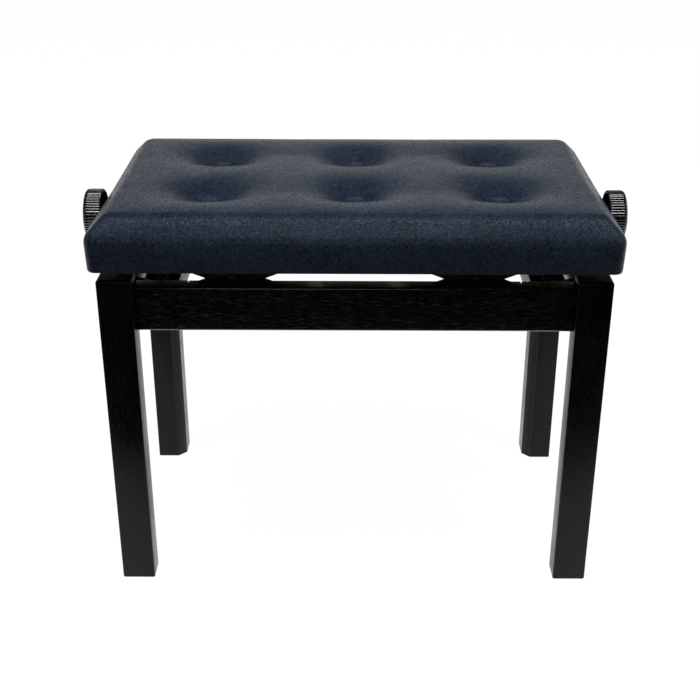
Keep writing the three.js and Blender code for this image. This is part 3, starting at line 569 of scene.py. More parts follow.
def dust_group():
    """Sparse pale specks that lie on a surface."""

    def build(maker, entry):
        scale = maker.math("DIVIDE", 1.0, entry["Spacing"])
        cells_at = {"Vector": entry["Vector"], "Scale": scale}
        cells = maker.add("ShaderNodeTexVoronoi", cells_at).outputs
        reach = maker.math("DIVIDE", entry["Speck"], entry["Spacing"])
        near = maker.add("ShaderNodeMapRange", {
            "Value": cells["Distance"], "From Min": reach, "From Max": maker.times(reach, 0.5),
        })
        picked = maker.add("ShaderNodeSeparateColor", {0: cells["Color"]}).outputs[0]
        return {"Mask": maker.times(near, maker.math("GREATER_THAN", picked, 0.55))}

    return shader_group("Dust", {"Spacing": 0.03, "Speck": 0.0005}, ("Mask",), build)


# ---------------------------------------------------------------- materials

DUST_GREY = (0.3, 0.3, 0.3, 1)
PLY_PITCH = 0.0026


def rgba(value):
    return (*value, 1.0)


class Finish:
    """A material with its shader, its object coordinates and short ways to feed it."""

    def __init__(self, name, **plain):
        self.material = bpy.data.materials.new(name)
        self.material.use_nodes = True
        self.maker = TreeMaker(self.material.node_tree)
        self.shader = self.material.node_tree.nodes["Principled BSDF"]
        for label, value in plain.items():
            self.shader.inputs[label.replace("_", " ")].default_value = value
        self.place = self.maker.add("ShaderNodeTexCoord").outputs["Object"]

    def group(self, tree, **inputs):
        """The outputs of a shader group, on the piece's coordinates unless told otherwise."""
        node = self.maker.add("ShaderNodeGroup", node_tree=tree)
        for label, value in {"Vector": self.place, **inputs}.items():
            self.maker.fill(node.inputs[label.replace("_", " ")], value)
        return node.outputs

    def noise(self, scale, detail, place=None):
        return self.maker.noise(place or self.place, scale, detail)

    def varied(self, scale, detail, low, high):
        """A value that drifts between two others over the surface."""
        return self.maker.remap(self.noise(scale, detail), 0.3, 0.7, low, high)

    def mapped(self, rotation=(0, 0, 0), scale=(1, 1, 1)):
        inputs = {"Vector": self.place, "Rotation": rotation, "Scale": scale}
        return self.maker.add("ShaderNodeMapping", inputs).outputs[0]

    def feed(self, label, value):
        self.maker.fill(self.shader.inputs[label], value)

    def feed_dusty(self, colour, spacing, speck, share_seen, dust=DUST_GREY):
        """Base colour under sparse specks of dust."""
        mask = self.group(dust_group(), Spacing=spacing, Speck=speck)["Mask"]
        self.feed("Base Color", self.maker.mix(self.maker.times(mask, share_seen), colour, dust))

    def bump(self, height, distance, strength):
        inputs = {"Height": height, "Distance": distance, "Strength": strength}
        self.feed("Normal", self.maker.add("ShaderNodeBump", inputs))


def kept(name, dress, **plain):
    """A material by name; the first time it is asked for, dress feeds its shader."""
    material = bpy.data.materials.get(name)
    if material is None:
        finish = Finish(name, **plain)
        dress(finish, finish.maker)
        material = finish.material
    return material


def between_faces(maker):
    """1 where a surface turns from one of the six main directions to the next."""
    facing = maker.vector("ABSOLUTE", maker.add("ShaderNodeNewGeometry").outputs["Normal"])
    parts = maker.parts(facing)
    flattest = maker.math("MAXIMUM", maker.math("MAXIMUM", parts["X"], parts["Y"]), parts["Z"])
    return maker.remap(flattest, 0.98, 0.9)


def stained_wood(axis):
    """Near-black stained wood with its grain along an axis, calmer where it stands upright; its
    pale dashes are painted glints, and its rubbed edges are partly a painted highlight.
    """
    settings = bpy.context.scene.bench_frame
    upright = axis == "Z"
    turn = {"X": (0, -math.pi / 2, 0), "Y": (math.pi / 2, 0, 0), "Z": (0, 0, 0)}[axis]

    def dress(finish, maker):
        grain_place = finish.mapped(turn)
        grain = finish.group(grain_group(), Vector=grain_place, Pore_Length=settings.pore_length)
        wear = finish.group(wear_group(), Width=0.0016, Breakup=90.0)
        streaks = maker.times(grain["Figure"], 0.2 if upright else 0.75)
        body = maker.mix(streaks, rgba(settings.stain), rgba(settings.figure))
        # Painted highlight: the dashes put pale glints of light along the grain, nearly none on
        # upright pieces.
        glint_mask = maker.times(grain["Dashes"], 0.08 if upright else 1.0)
        pored = maker.mix(glint_mask, body, rgba(settings.glint))
        # Lighter edges: rubbed wear, and partly a painted highlight.
        rubbed = maker.mix(maker.times(wear["Wear"], 0.8), pored, rgba(settings.bare_edge_and_highlight))
        finish.feed_dusty(rubbed, 0.016, 0.0004, 0.5)
        edge = wear["Edge"]
        if not upright:
            edge = maker.math("MAXIMUM", edge, between_faces(maker))
        finish.feed("Coat Weight", edge)
        gloss = finish.varied(14.0, 4.0, 0.2, 0.34)
        finish.feed("Roughness", maker.math("ADD", gloss, maker.times(grain["Pores"], 0.25)))
        finish.bump(grain["Height"], 0.00012, 0.5)

    coat = {"Coat_Roughness": 0.15, "Coat_IOR": 1.75}
    return kept(f"Stained wood along {axis}", dress, Specular_IOR_Level=0.2, **coat)


def black_enamel():
    """Satin black enamel on steel, a little orange-peeled, rubbed on the edges."""
    settings = bpy.context.scene.bench_lift

    def dress(finish, maker):
        wear = finish.group(wear_group(), Width=0.0007, Breakup=260.0)
        rub = maker.times(wear["Wear"], 0.6)
        tint = maker.scaled(tuple(settings.enamel), finish.varied(60.0, 3.0, 0.75, 1.35))
        finish.feed_dusty(maker.mix(rub, tint, (0.16, 0.16, 0.17, 1)), 0.009, 0.0003, 0.4)
        finish.feed("Metallic", rub)
        finish.feed("Roughness", finish.varied(140.0, 3.0, 0.3, 0.48))
        finish.bump(finish.noise(700.0, 2.0), 0.00008, 0.35)

    return kept("Black enamel", dress, Specular_IOR_Level=0.3)


def yellow_zinc(axis="Y"):
    """Yellow passivated zinc on drawn bar, with drawing lines along an axis."""
    settings = bpy.context.scene.bench_lift
    stretch = {"X": (0.06, 1, 1), "Y": (1, 0.06, 1)}[axis]

    def dress(finish, maker):
        lines = finish.noise(1500.0, 3.0, finish.mapped(scale=stretch))
        bloom = maker.remap(finish.noise(75.0, 3.0), 0.35, 0.65)
        plating = maker.mix(bloom, rgba(settings.plating), (0.5, 0.46, 0.36, 1))
        streak = maker.remap(lines, 0.3, 0.7, 0.0, 0.3)
        finish.feed("Base Color", maker.mix(streak, plating, (0.28, 0.24, 0.16, 1)))
        finish.feed("Roughness", maker.remap(lines, 0.3, 0.7, 0.24, 0.42))
        finish.bump(lines, 0.00004, 0.4)

    return kept(f"Yellow zinc along {axis}", dress, Metallic=1.0)


def knob_polish(finish):
    """1 on the polished rib crests and outer face of a knob, 0 in its grooves and hollow."""
    maker = finish.maker
    low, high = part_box("knob_right")
    radius = (high.z - low.z) / 2
    parts = maker.parts(finish.place)
    height = maker.math("SUBTRACT", parts["Z"], (low.z + high.z) / 2)
    squares = [maker.math("POWER", reach, 2.0) for reach in (height, parts["Y"])]
    from_axis = maker.math("SQRT", maker.math("ADD", *squares))
    crests = maker.remap(from_axis, radius - 0.0009, radius - 0.0006)
    outer = maker.remap(maker.math("ABSOLUTE", parts["X"]), high.x - 0.0045, high.x - 0.0035)
    return maker.math("MAXIMUM", crests, outer)


def knob_plastic():
    """Glossy black plastic, with fine scuffs."""
    settings = bpy.context.scene.bench_lift

    def dress(finish, maker):
        scuffs = finish.noise(900.0, 3.0, finish.mapped((0.3, 0.2, 0.5), (1, 0.12, 1)))
        worn = maker.times(maker.remap(scuffs, 0.6, 0.72), 0.5)
        base = maker.mix(worn, rgba(settings.knob_plastic), (0.02, 0.02, 0.022, 1))
        finish.feed("Base Color", base)
        finish.feed("Roughness", finish.varied(220.0, 4.0, 0.2, 0.28))
        finish.feed("Coat Weight", knob_polish(finish))
        finish.bump(finish.noise(420.0, 2.0), 0.00001, 0.02)

    coat = {"Coat_IOR": 2.3, "Coat_Roughness": 0.08}
    return kept("Knob plastic", dress, Specular_IOR_Level=0.12, **coat)


def leatherette():
    """Black leatherette with an embossed pebble grain, with painted shade in its creases."""
    settings = bpy.context.scene.bench_seat

    def dress(finish, maker):
        grain = finish.group(pebble_group(), Size=settings.pebble)
        cloud = maker.remap(finish.noise(26.0, 4.0), 0.35, 0.65)
        shine = maker.math("ADD", maker.times(cloud, 0.2), maker.times(grain["Tone"], 0.8))
        tone = maker.mix(shine, rgba(settings.leatherette), rgba(settings.leatherette_worn))
        # Painted shade: the creases between the pebbles are darkened in the colour.
        crease_shaded = maker.mix(maker.times(grain["Crease"], 0.6), tone, (0.005, 0.008, 0.014, 1))
        finish.feed_dusty(crease_shaded, 0.075, 0.0007, 1.0, (0.6, 0.62, 0.66, 1))
        sunk, raised = maker.times(grain["Crease"], 0.15), maker.times(grain["Tone"], -0.1)
        matt = maker.math("ADD", sunk, raised)
        finish.feed("Roughness", maker.math("ADD", finish.varied(300.0, 3.0, 0.29, 0.38), matt))
        finish.bump(grain["Height"], 0.0002, 1.0)

    return kept("Leatherette", dress, Specular_IOR_Level=0.14)


def plywood():
    """Raw plywood: face veneer with grain along X, and layers through its thickness."""
    settings = bpy.context.scene.bench_seat

    def dress(finish, maker):
        lengthwise = finish.mapped((0, -math.pi / 2, 0))
        grain = finish.group(grain_group(), Vector=lengthwise, Pore_Length=0.03)
        turns = maker.times(maker.parts(finish.place)["Z"], 2 * math.pi / PLY_PITCH)
        layer = maker.remap(maker.math("SINE", turns), -0.2, 0.2, 0.0, 0.75)
        facing = maker.parts(maker.add("ShaderNodeNewGeometry").outputs["Normal"])
        on_edge = maker.remap(maker.math("ABSOLUTE", facing["Z"]), 0.5, 0.2)
        veneer = maker.mix(grain["Figure"], rgba(settings.plywood), (0.3, 0.18, 0.08, 1))
        edged = maker.mix(maker.times(on_edge, layer), veneer, rgba(settings.plywood_dark))
        pored = maker.mix(maker.times(grain["Pores"], 0.4), edged, (0.12, 0.07, 0.03, 1))
        finish.feed("Base Color", pored)
        finish.feed("Roughness", maker.remap(grain["Fibre"], 0.3, 0.7, 0.62, 0.82))
        finish.bump(grain["Height"], 0.00015, 0.5)

    return kept("Plywood", dress, Specular_IOR_Level=0.25)


def foot_felt():
    """Pressed felt under the feet."""
    settings = bpy.context.scene.bench_frame

    def dress(finish, maker):
        fluff = finish.noise(1600.0, 4.0)
        finish.feed("Base Color", maker.mix(fluff, rgba(settings.felt), (0.1, 0.085, 0.07, 1)))
        finish.feed("Roughness", maker.remap(fluff, 0.3, 0.7, 0.85, 1.0))
        finish.bump(fluff, 0.0003, 0.8)

    return kept("Foot felt", dress, Specular_IOR_Level=0.1)


def staple_steel():
    """Bright staple wire, a little dulled."""

    def dress(finish, maker):
        dull = finish.noise(500.0, 3.0)
        finish.feed("Base Color", maker.mix(dull, (0.5, 0.5, 0.5, 1), (0.3, 0.29, 0.28, 1)))
        finish.feed("Roughness", maker.remap(dull, 0.3, 0.7, 0.25, 0.45))

    return kept("Staple wire", dress, Metallic=1.0)


# ---------------------------------------------------------------- small parts


MM = 1e-3


def pan_head(radius):
    """A domed screw head with a cross recess, seat at Z 0."""
    form = bmesh.new()
    steps = 20
    turns = [2 * math.pi * i / steps for i in range(steps)]
    rows = []
    for share_out, height in ((1.0, 0.0), (1.0, 0.18), (0.9, 0.4), (0.72, 0.54), (0.55, 0.6)):
        reach = radius * share_out
        ring = [(reach * math.cos(turn), reach * math.sin(turn), radius * height) for turn in turns]
        rows.append([form.verts.new(point) for point in ring])
    for lower, upper in zip(rows, rows[1:]):
        for i in range(steps):
            j = (i + 1) % steps
            form.faces.new((lower[i], lower[j], upper[j], upper[i]))
    form.faces.new(list(reversed(rows[0])))
    arm, half = 0.42 * radius, 0.1 * radius
    cross = [
        (arm, -half), (arm, half), (half, half), (half, arm), (-half, arm), (-half, half),
        (-arm, half), (-arm, -half), (-half, -half), (-half, -arm), (half, -arm), (half, -half),
    ]
    mouth = [form.verts.new((x, y, 0.6 * radius)) for x, y in cross]
    floor = [form.verts.new((x * 0.7, y * 0.7, 0.25 * radius)) for x, y in cross]
    rim = [form.edges.get((rows[-1][i], rows[-1][(i + 1) % steps])) for i in range(steps)]
    inner = [form.edges.new((mouth[i], mouth[(i + 1) % 12])) for i in range(12)]
    bmesh.ops.triangle_fill(form, use_beauty=True, use_dissolve=False, edges=rim + inner)
    for face in [f for f in form.faces if all(v in mouth for v in f.verts)]:
        form.faces.remove(face)
    for i in range(12):
        j = (i + 1) % 12
        form.faces.new((mouth[j], mouth[i], floor[i], floor[j]))
    form.faces.new(floor)
    return mesh_from(outward(form), "pan_head")


def staple_wire():
    """The crown of a staple, lying along X with its two bends, seat at Z 0."""
    bends = ((-5.1, -0.6), (-5.0, -0.05), (-4.6, 0.15), (4.6, 0.15), (5.0, -0.05), (5.1, -0.6))
    section = ((-0.55, 0.1), (-0.4, 0.35), (0.4, 0.35), (0.55, 0.1), (0.4, -0.1), (-0.4, -0.1))
    rings = [[(x * MM, y * MM, (z + height) * MM) for y, z in section] for x, height in bends]
    mesh = lofted(rings, "staple_wire")
    return written(outward(form_of(mesh)), mesh)


# ---------------------------------------------------------------- camera and stage

CAMERA_PLACE = Vector((0.0005, -1.2973, 0.8357))
CAMERA_DOWN = math.radians(25.286)
CAMERA_SIDE = math.radians(-0.263)
CAMERA_ROLL = math.radians(0.096)
CAMERA_LENS = 60.72


class BENCH_OT_camera(bpy.types.Operator):
    """Place the camera in front of the bench, looking down on it"""

    bl_idname = "bench.camera"
    bl_label = "Camera"

    def execute(self, context):
        data = bpy.data.cameras.new("Camera")
        data.lens = CAMERA_LENS
        data.sensor_width = 36
        data.clip_end = 60
        camera = link("Camera", data)
        ahead = Vector((
            math.sin(CAMERA_SIDE) * math.cos(CAMERA_DOWN),
            math.cos(CAMERA_SIDE) * math.cos(CAMERA_DOWN),
            -math.sin(CAMERA_DOWN),
        ))
        level = Vector((math.cos(CAMERA_SIDE), -math.sin(CAMERA_SIDE), 0))
        upward = level.cross(ahead)
        right = level * math.cos(CAMERA_ROLL) + upward * math.sin(CAMERA_ROLL)
        above = upward * math.cos(CAMERA_ROLL) - level * math.sin(CAMERA_ROLL)
        turn = Matrix((right, above, -ahead)).transposed().to_4x4()
        camera.matrix_world = Matrix.Translation(CAMERA_PLACE) @ turn
        context.scene.camera = camera
        return {"FINISHED"}


SWEEP_FADE = 0.1


def backdrop_seen(maker):
    """1 for the rays that see the backdrop: from the camera, or by gloss or glass."""
    path = maker.add("ShaderNodeLightPath")
    seen = maker.math("ADD", path.outputs["Is Camera Ray"], path.outputs["Is Glossy Ray"])
    both = maker.math("ADD", seen, path.outputs["Is Transmission Ray"])
    both.use_clamp = True
    return both


def floor_paint(settings):
    """Pale paint; reflections show the white sweep only as far as its front end."""
    finish = Finish("Floor", Roughness=0.9, Specular_IOR_Level=0.0, Emission_Color=(1, 1, 1, 1))
    maker = finish.maker
    speckle = finish.varied(30.0, 3.0, 0.97, 1.0)
    finish.feed("Base Color", maker.scaled(tuple(settings.floor), speckle))
    mirrored = maker.add("ShaderNodeLightPath").outputs["Is Glossy Ray"]
    depth = maker.parts(finish.place)["Y"]
    fade_start, fade_end = settings.sweep_end + SWEEP_FADE, settings.sweep_end - SWEEP_FADE
    ahead = maker.remap(depth, fade_start, fade_end)
    lit = maker.math("SUBTRACT", 1.0, maker.times(mirrored, ahead))
    glow = maker.times(backdrop_seen(maker), maker.times(lit, settings.floor_glow))
    finish.feed("Emission Strength", glow)
    finish.material.cycles.emission_sampling = "NONE"
    return finish.material


def build_world(settings):
    """A white surround, dim to matt surfaces; mirrored, it darkens overhead, ahead and aside."""
    world = bpy.data.worlds.new("Studio")
    world.use_nodes = True
    world.node_tree.nodes.clear()
    maker = TreeMaker(world.node_tree)
    toward = maker.parts(maker.add("ShaderNodeTexCoord").outputs["Generated"])
    ceiling = maker.math("ADD", maker.remap(toward["Z"], 0.42, 0.66, 0.58, 0.1),
                         maker.remap(toward["Z"], 0.16, 0.3, 0.42, 0.0))
    ahead = maker.remap(toward["Y"], -0.2, -0.8)
    aside = maker.remap(maker.math("ABSOLUTE", toward["X"]), 0.13, 0.4, 0.0, 0.7)
    path = maker.add("ShaderNodeLightPath").outputs
    mirrored = maker.times(path["Is Glossy Ray"], maker.math("MAXIMUM", ahead, aside))
    lit = maker.times(ceiling, maker.math("SUBTRACT", 1.0, mirrored))
    strength = maker.math("MAXIMUM", path["Is Camera Ray"], lit)
    seen = maker.add("ShaderNodeBackground", {"Color": (1, 1, 1, 1), "Strength": strength})
    surround = {"Color": (0.95, 0.97, 1, 1), "Strength": settings.surround}
    dim = maker.add("ShaderNodeBackground", surround)
    mixed = maker.add("ShaderNodeMixShader", {0: backdrop_seen(maker), 1: dim, 2: seen})
    maker.add("ShaderNodeOutputWorld", {"Surface": mixed})
    world.cycles.sampling_method = "NONE"
    bpy.context.scene.world = world


def softbox(name, place, target, size, power):
    data = bpy.data.lights.new(name, "AREA")
    data.shape = "RECTANGLE"
    data.size, data.size_y = size
    data.energy = power
    lamp = link(name, data)
    aim = (Vector(target) - Vector(place)).to_track_quat("-Z", "Y")
    lamp.matrix_world = Matrix.Translation(place) @ aim.to_matrix().to_4x4()


# Name, place, target and size of each lamp; its power is a setting of the stage.
LAMPS = (
    ("front", (-0.3, -2.3, 1.05), (0, 0, 0.35), (1.4, 0.3)),
    ("top", (0.0, -0.5, 2.25), (0, 0, 0.4), (2.4, 0.4)),
    ("side", (2.4, 0.6, 1.2), (0, 0, 0.35), (0.9, 1.4)),
)


class BENCH_OT_stage(bpy.types.Operator):
    """Lay the pale floor and set the soft studio lamps"""

    bl_idname = "bench.stage"
    bl_label = "Floor and lamps"

    def execute(self, context):
        settings = context.scene.bench_stage
        form = bmesh.new()
        reach, drop = 9.0, -0.0003
        corners = ((-reach, -reach), (reach, -reach), (reach, reach), (-reach, reach))
        form.faces.new([form.verts.new((x, y, drop)) for x, y in corners])
        mesh = mesh_from(form, "floor")
        mesh.materials.append(floor_paint(settings))
        link("floor", mesh)
        build_world(settings)
        for name, place, target, size in LAMPS:
            power = getattr(settings, f"{name}_power")
            softbox(f"{name.title()} lamp", place, target, size, power)
        context.scene.view_settings.view_transform = "Standard"
        return {"FINISHED"}


# ---------------------------------------------------------------- wooden frame

WOOD_SEGMENTS = 3
FELT_ROUND = 0.0003
BRACKET_STEEL = 0.002
TAB_SCREW_IN = 0.0065
SCREW_SPIN = 1.5


def enamelled(slot, *nodes, rounding=1.0):
    """Steel pieces in black enamel."""
    radius = bpy.context.scene.bench_lift.edge_round * rounding
    for node in nodes:
        dressed(node, "enamel", black_enamel(), slot, radius)


def plated(*nodes, axis="Y"):
    """Steel pieces in yellow zinc, drawn along an axis."""
    radius = bpy.context.scene.bench_lift.edge_round
    for node in nodes:
        dressed(node, "zinc", yellow_zinc(axis), "zinc_steel", radius)


def screws(name, size, places, material, body, slot, seed):
    """Pan heads at places, each turned its own way."""
    head = pan_head(bpy.context.scene.bench_frame.screw_radius * size)
    scattered(name, head, places, material, body, slot, spin=SCREW_SPIN, seed=seed)


class BENCH_OT_wooden_frame(bpy.types.Operator):
    """Make the four legs and the four rails in stained wood"""

    bl_idname = "bench.wooden_frame"
    bl_label = "Legs and rails"

    def execute(self, context):
        radius = context.scene.bench_frame.edge_round
        pieces = [(f"leg_{corner}", "Z") for corner in CORNERS]
        pieces += [(f"rail_{end}", "X") for end, _ in ENDS]
        pieces += [(f"rail_{side}", "Y") for side, _ in SIDES]
        for node, axis in pieces:
            dressed(node, "wood", stained_wood(axis), "dark_wood", radius, WOOD_SEGMENTS)
        return {"FINISHED"}


class BENCH_OT_feet(bpy.types.Operator):
    """Make the glides under the four legs"""

    bl_idname = "bench.feet"
    bl_label = "Foot glides"

    def execute(self, context):
        for corner in CORNERS:
            dressed(f"foot_glide_{corner}", "felt", foot_felt(), "glide", FELT_ROUND)
        return {"FINISHED"}


class BENCH_OT_corner_fittings(bpy.types.Operator):
    """Make the corner brackets, their bolts and the screws that hold them"""

    bl_idname = "bench.corner_fittings"
    bl_label = "Corner fittings"

    def execute(self, context):
        places = []
        for end, sy in ENDS:
            for side, sx in SIDES:
                bracket = f"corner_bracket_{end}_{side}"
                enamelled("black_steel", bracket)
                enamelled("black_steel", f"corner_bolt_{end}_{side}", rounding=0.8)
                low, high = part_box(bracket)
                face = (high.x if sx > 0 else low.x) - sx * BRACKET_STEEL
                across = (low.y if sy > 0 else high.y) + sy * TAB_SCREW_IN
                places.append(((face, across, (low.z + high.z) / 2), (-sx, 0, 0), (0, 1, 0)))
        screws("corner_bracket_screws", 0.85, places, black_enamel(), "frame", "black_steel", 3)
        return {"FINISHED"}


# ---------------------------------------------------------------- scissor lift

BASE_SCREWS = (-0.192, -0.166, -0.014, 0.014, 0.166, 0.192)
BASE_STEEL = 0.0028
SEAT_SCREWS = (-0.196, -0.162, -0.018, 0.018, 0.162, 0.196)
SEAT_SCREW_IN = 0.0065
SEAT_FLANGE = 0.0024
BEARING_SCREWS = (-0.011, 0.011)
BEARING_SCREW_IN = 0.007


def base_screw_places():
    """Screw heads on the base angles, clear of the slots and the hinge rods."""
    rod_low, rod_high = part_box("hinge_rod_left")
    height = (rod_low.z + rod_high.z) / 2
    places = []
    for end, sy in ENDS:
        low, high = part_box(f"base_angle_{end}")
        face = (high.y if sy > 0 else low.y) - sy * BASE_STEEL
        places += [((x, face, height), (0, -sy, 0), (1, 0, 0)) for x in BASE_SCREWS]
    return places


class BENCH_OT_base(bpy.types.Operator):
    """Make the slotted base angles, the cross channels and the hinge rods"""

    bl_idname = "bench.base"
    bl_label = "Base of the lift"

    def execute(self, context):
        enamelled("black_steel", *(f"base_angle_{end}" for end, _ in ENDS))
        for side, _ in SIDES:
            enamelled("black_steel", f"cross_channel_{side}")
            enamelled("zinc_steel", f"hinge_rod_{side}")
        places = base_screw_places()
        screws("base_angle_screws", 0.9, places, yellow_zinc(), "frame", "zinc_steel", 5)
        return {"FINISHED"}


class BENCH_OT_arms(bpy.types.Operator):
    """Make the eight flat arms with their pivot rods and tie rods"""

    bl_idname = "bench.arms"
    bl_label = "Scissor arms"

    def execute(self, context):
        for corner in CORNERS:
            enamelled("black_steel", f"outer_arm_{corner}", f"inner_arm_{corner}")
        for side, _ in SIDES:
            enamelled("zinc_steel", f"pivot_rod_{side}")
            plated(f"tie_rod_{side}")
        return {"FINISHED"}


def seat_screw_places():
    """Screw heads under the flanges that hang from the seat board."""
    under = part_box("seat_board")[0].z - SEAT_FLANGE
    places = []
    for end, sy in ENDS:
        low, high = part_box(f"seat_angle_{end}")
        row = (low.y if sy > 0 else high.y) + sy * SEAT_SCREW_IN
        places += [((x, row, under), DOWN, (1, 0, 0)) for x in SEAT_SCREWS]
    for side, sx in SIDES:
        low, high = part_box(f"bearing_plate_{side}")
        column = (low.x if sx > 0 else high.x) + sx * BEARING_SCREW_IN
        places += [((column, y, under), DOWN, (1, 0, 0)) for y in BEARING_SCREWS]
    return places


class BENCH_OT_seat_fittings(bpy.types.Operator):
    """Make the slotted seat angles, the bearing plates and their screws"""

    bl_idname = "bench.seat_fittings"
    bl_label = "Seat angles and bearings"

    def execute(self, context):
        enamelled("black_steel", *(f"seat_angle_{end}" for end, _ in ENDS))
        enamelled("black_steel", *(f"bearing_plate_{side}" for side, _ in SIDES))
        places = seat_screw_places()
        screws("seat_fitting_screws", 1.0, places, yellow_zinc(), "seat", "zinc_steel", 8)
        return {"FINISHED"}


# ---------------------------------------------------------------- cross screw and knobs


THREAD_CREST = 0.0058
THREAD_PAST_NUT = 0.022
THREAD_BEFORE_BEARING = 0.012


def thread_tree():
    """One helical ridge, wound round X from the curve's start."""
    maker, entry = geometry_tree("Thread ridge", (
        ("Core Radius", "Float"), ("Depth", "Float"), ("Length", "Float"), ("Lead", "Float"),
        ("Left Hand", "Bool"), ("Start Turn", "Float"), ("Start X", "Float"),
        ("Axis Height", "Float"), ("Material", "Material"),
    ))
    turns = maker.math("DIVIDE", entry["Length"], entry["Lead"])
    coil = maker.add("GeometryNodeCurveSpiral", {
        "Resolution": 18, "Rotations": turns, "Height": entry["Length"],
        "Start Radius": entry["Core Radius"], "End Radius": entry["Core Radius"],
        "Reverse": entry["Left Hand"],
    })
    depth = entry["Depth"]
    section = maker.add("GeometryNodeCurvePrimitiveQuadrilateral", {
        "Bottom Width": maker.times(depth, 1.9), "Top Width": maker.times(depth, 0.8),
        "Height": maker.times(depth, 2.0), "Offset": 0.0,
    }, mode="TRAPEZOID")
    ridge = maker.add("GeometryNodeCurveToMesh", {
        "Curve": coil, "Profile Curve": section, "Fill Caps": True,
    })
    spin = maker.add("ShaderNodeCombineXYZ", {"Z": entry["Start Turn"]})
    turned_ridge = maker.add("GeometryNodeTransform", {"Geometry": ridge, "Rotation": spin})
    shift = maker.add("ShaderNodeCombineXYZ", {"X": entry["Start X"], "Z": entry["Axis Height"]})
    laid = maker.add("GeometryNodeTransform", {
        "Geometry": turned_ridge, "Translation": shift, "Rotation": (0, math.pi / 2, 0),
    })
    close_tree(maker, laid, entry["Material"])
    return maker.tree


class BENCH_OT_cross_screw(bpy.types.Operator):
    """Make the cross screw, with a right-hand and a left-hand half, and its nut bars"""

    bl_idname = "bench.cross_screw"
    bl_label = "Cross screw"

    def execute(self, context):
        settings = context.scene.bench_lift
        plated("screw_shaft", axis="X")
        low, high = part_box("screw_shaft")
        axis_height = (low.z + high.z) / 2
        tree = thread_tree()
        ridges = bmesh.new()
        start_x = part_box("nut_bar_right")[0].x - THREAD_PAST_NUT
        end_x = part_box("bearing_plate_right")[0].x - THREAD_BEFORE_BEARING
        for _, sx in SIDES:
            for start in range(settings.thread_starts):
                holder = link("thread_draft", bpy.data.meshes.new("thread_draft"))
                mesh = grown(holder, tree, {
                    "Core Radius": THREAD_CREST - settings.thread_depth,
                    "Depth": settings.thread_depth,
                    "Length": end_x - start_x, "Lead": settings.thread_lead, "Left Hand": sx < 0,
                    "Start Turn": 2 * math.pi * start / settings.thread_starts,
                    "Start X": start_x if sx > 0 else -end_x, "Axis Height": axis_height,
                    "Material": yellow_zinc("X"),
                })
                ridges.from_mesh(mesh)
        mesh = shade(mesh_from(outward(ridges), "screw_thread"), 50)
        finished("screw_thread", mesh, yellow_zinc("X"), "screw", "zinc_steel")
        plated("nut_bar_left", "nut_bar_right")
        return {"FINISHED"}


def rib_tree():
    """Presses flat grooves between round ribs into a drum wherever its mask allows."""
    maker, entry = geometry_tree("Ribbed rim", (
        ("Rib Count", "Int"), ("Rib Pitch", "Float"), ("Rib Width", "Float"),
        ("Crest Radius", "Float"), ("Groove Depth", "Float"), ("Material", "Material"),
    ))
    parts = maker.parts(maker.add("GeometryNodeInputPosition"))
    angle = maker.math("ARCTAN2", parts["Y"], parts["X"])
    turn = maker.math("DIVIDE", maker.times(angle, entry["Rib Count"]), 2 * math.pi)
    off_crest = maker.math("ABSOLUTE", maker.math("SUBTRACT", maker.math("FRACT", turn), 0.5))
    away = maker.times(off_crest, entry["Rib Pitch"])
    half_rib = maker.times(entry["Rib Width"], 0.5)
    on_rib = maker.math("MINIMUM", away, half_rib)
    radius = entry["Crest Radius"]
    squares = [maker.math("POWER", reach, 2.0) for reach in (radius, on_rib)]
    level = maker.math("SQRT", maker.math("SUBTRACT", *squares))
    crest = maker.math("SUBTRACT", radius, level)
    between = maker.math("GREATER_THAN", away, half_rib)
    groove = maker.math("MAXIMUM", crest, maker.times(between, entry["Groove Depth"]))
    mask = maker.add("GeometryNodeInputNamedAttribute", {"Name": "ribbed"}, data_type="FLOAT")
    depth = maker.times(groove, mask)
    flat = maker.add("ShaderNodeCombineXYZ", {"X": parts["X"], "Y": parts["Y"]})
    offset = maker.scaled(maker.vector("NORMALIZE", flat), maker.times(depth, -1.0))
    drum = entry["Geometry"]
    pressed = maker.add("GeometryNodeSetPosition", {"Geometry": drum, "Offset": offset})
    close_tree(maker, pressed, entry["Material"])
    return maker.tree


COLUMNS_PER_RIB = 14


def knob_profile(radius, thick):
    """(radius, height, ribbed) triples from the bore round the rim and back, inner face at 0."""
    wall, face, hub, bore = 0.003, 0.005, 0.011, 0.0063
    edge = 0.0042
    points = [
        (0.0, thick - face + 0.0002, 0), (bore, thick - face, 0),
        (bore, 0.0008, 0), (bore + 0.0008, 0.0, 0), (hub - 0.001, 0.0, 0), (hub, 0.001, 0),
        (hub, thick - face - 0.002, 0), (hub + 0.002, thick - face, 0),
        (radius - wall - 0.002, thick - face, 0), (radius - wall, thick - face - 0.002, 0),
        (radius - wall, 0.0006, 0), (radius - wall + 0.0006, 0.0, 0),
        (radius - 0.0014, 0.0, 0), (radius - 0.0004, 0.0005, 0.9), (radius, 0.0012, 1),
    ]
    points += [(radius, thick * share_up, 1) for share_up in (0.25, 0.45, 0.62)]
    points += [(radius, thick - edge - 0.0006, 1)]
    for step, mask in ((0.25, 1), (0.5, 0.75), (0.72, 0.3), (0.88, 0), (1.0, 0)):
        angle = step * math.pi / 2
        points.append((
            radius - edge + edge * math.cos(angle), thick - edge + edge * math.sin(angle), mask,
        ))
    dish = radius - 0.0095
    return points + [
        (dish + 0.0006, thick, 0), (dish, thick - 0.0004, 0), (dish - 0.001, thick - 0.0016, 0),
        (dish * 0.5, thick - 0.0017, 0), (0.0, thick - 0.0017, 0),
    ]


def knob_drum(radius, thick, columns):
    profile = knob_profile(radius, thick)
    mesh = turned([(r, z) for r, z, _ in profile], columns, "knob_drum")
    layer = mesh.attributes.new("ribbed", "FLOAT", "POINT")
    masks = []
    for r, _, mask in profile:
        masks += [mask] * (1 if r < ON_AXIS else columns)
    layer.data.foreach_set("value", masks)
    return mesh


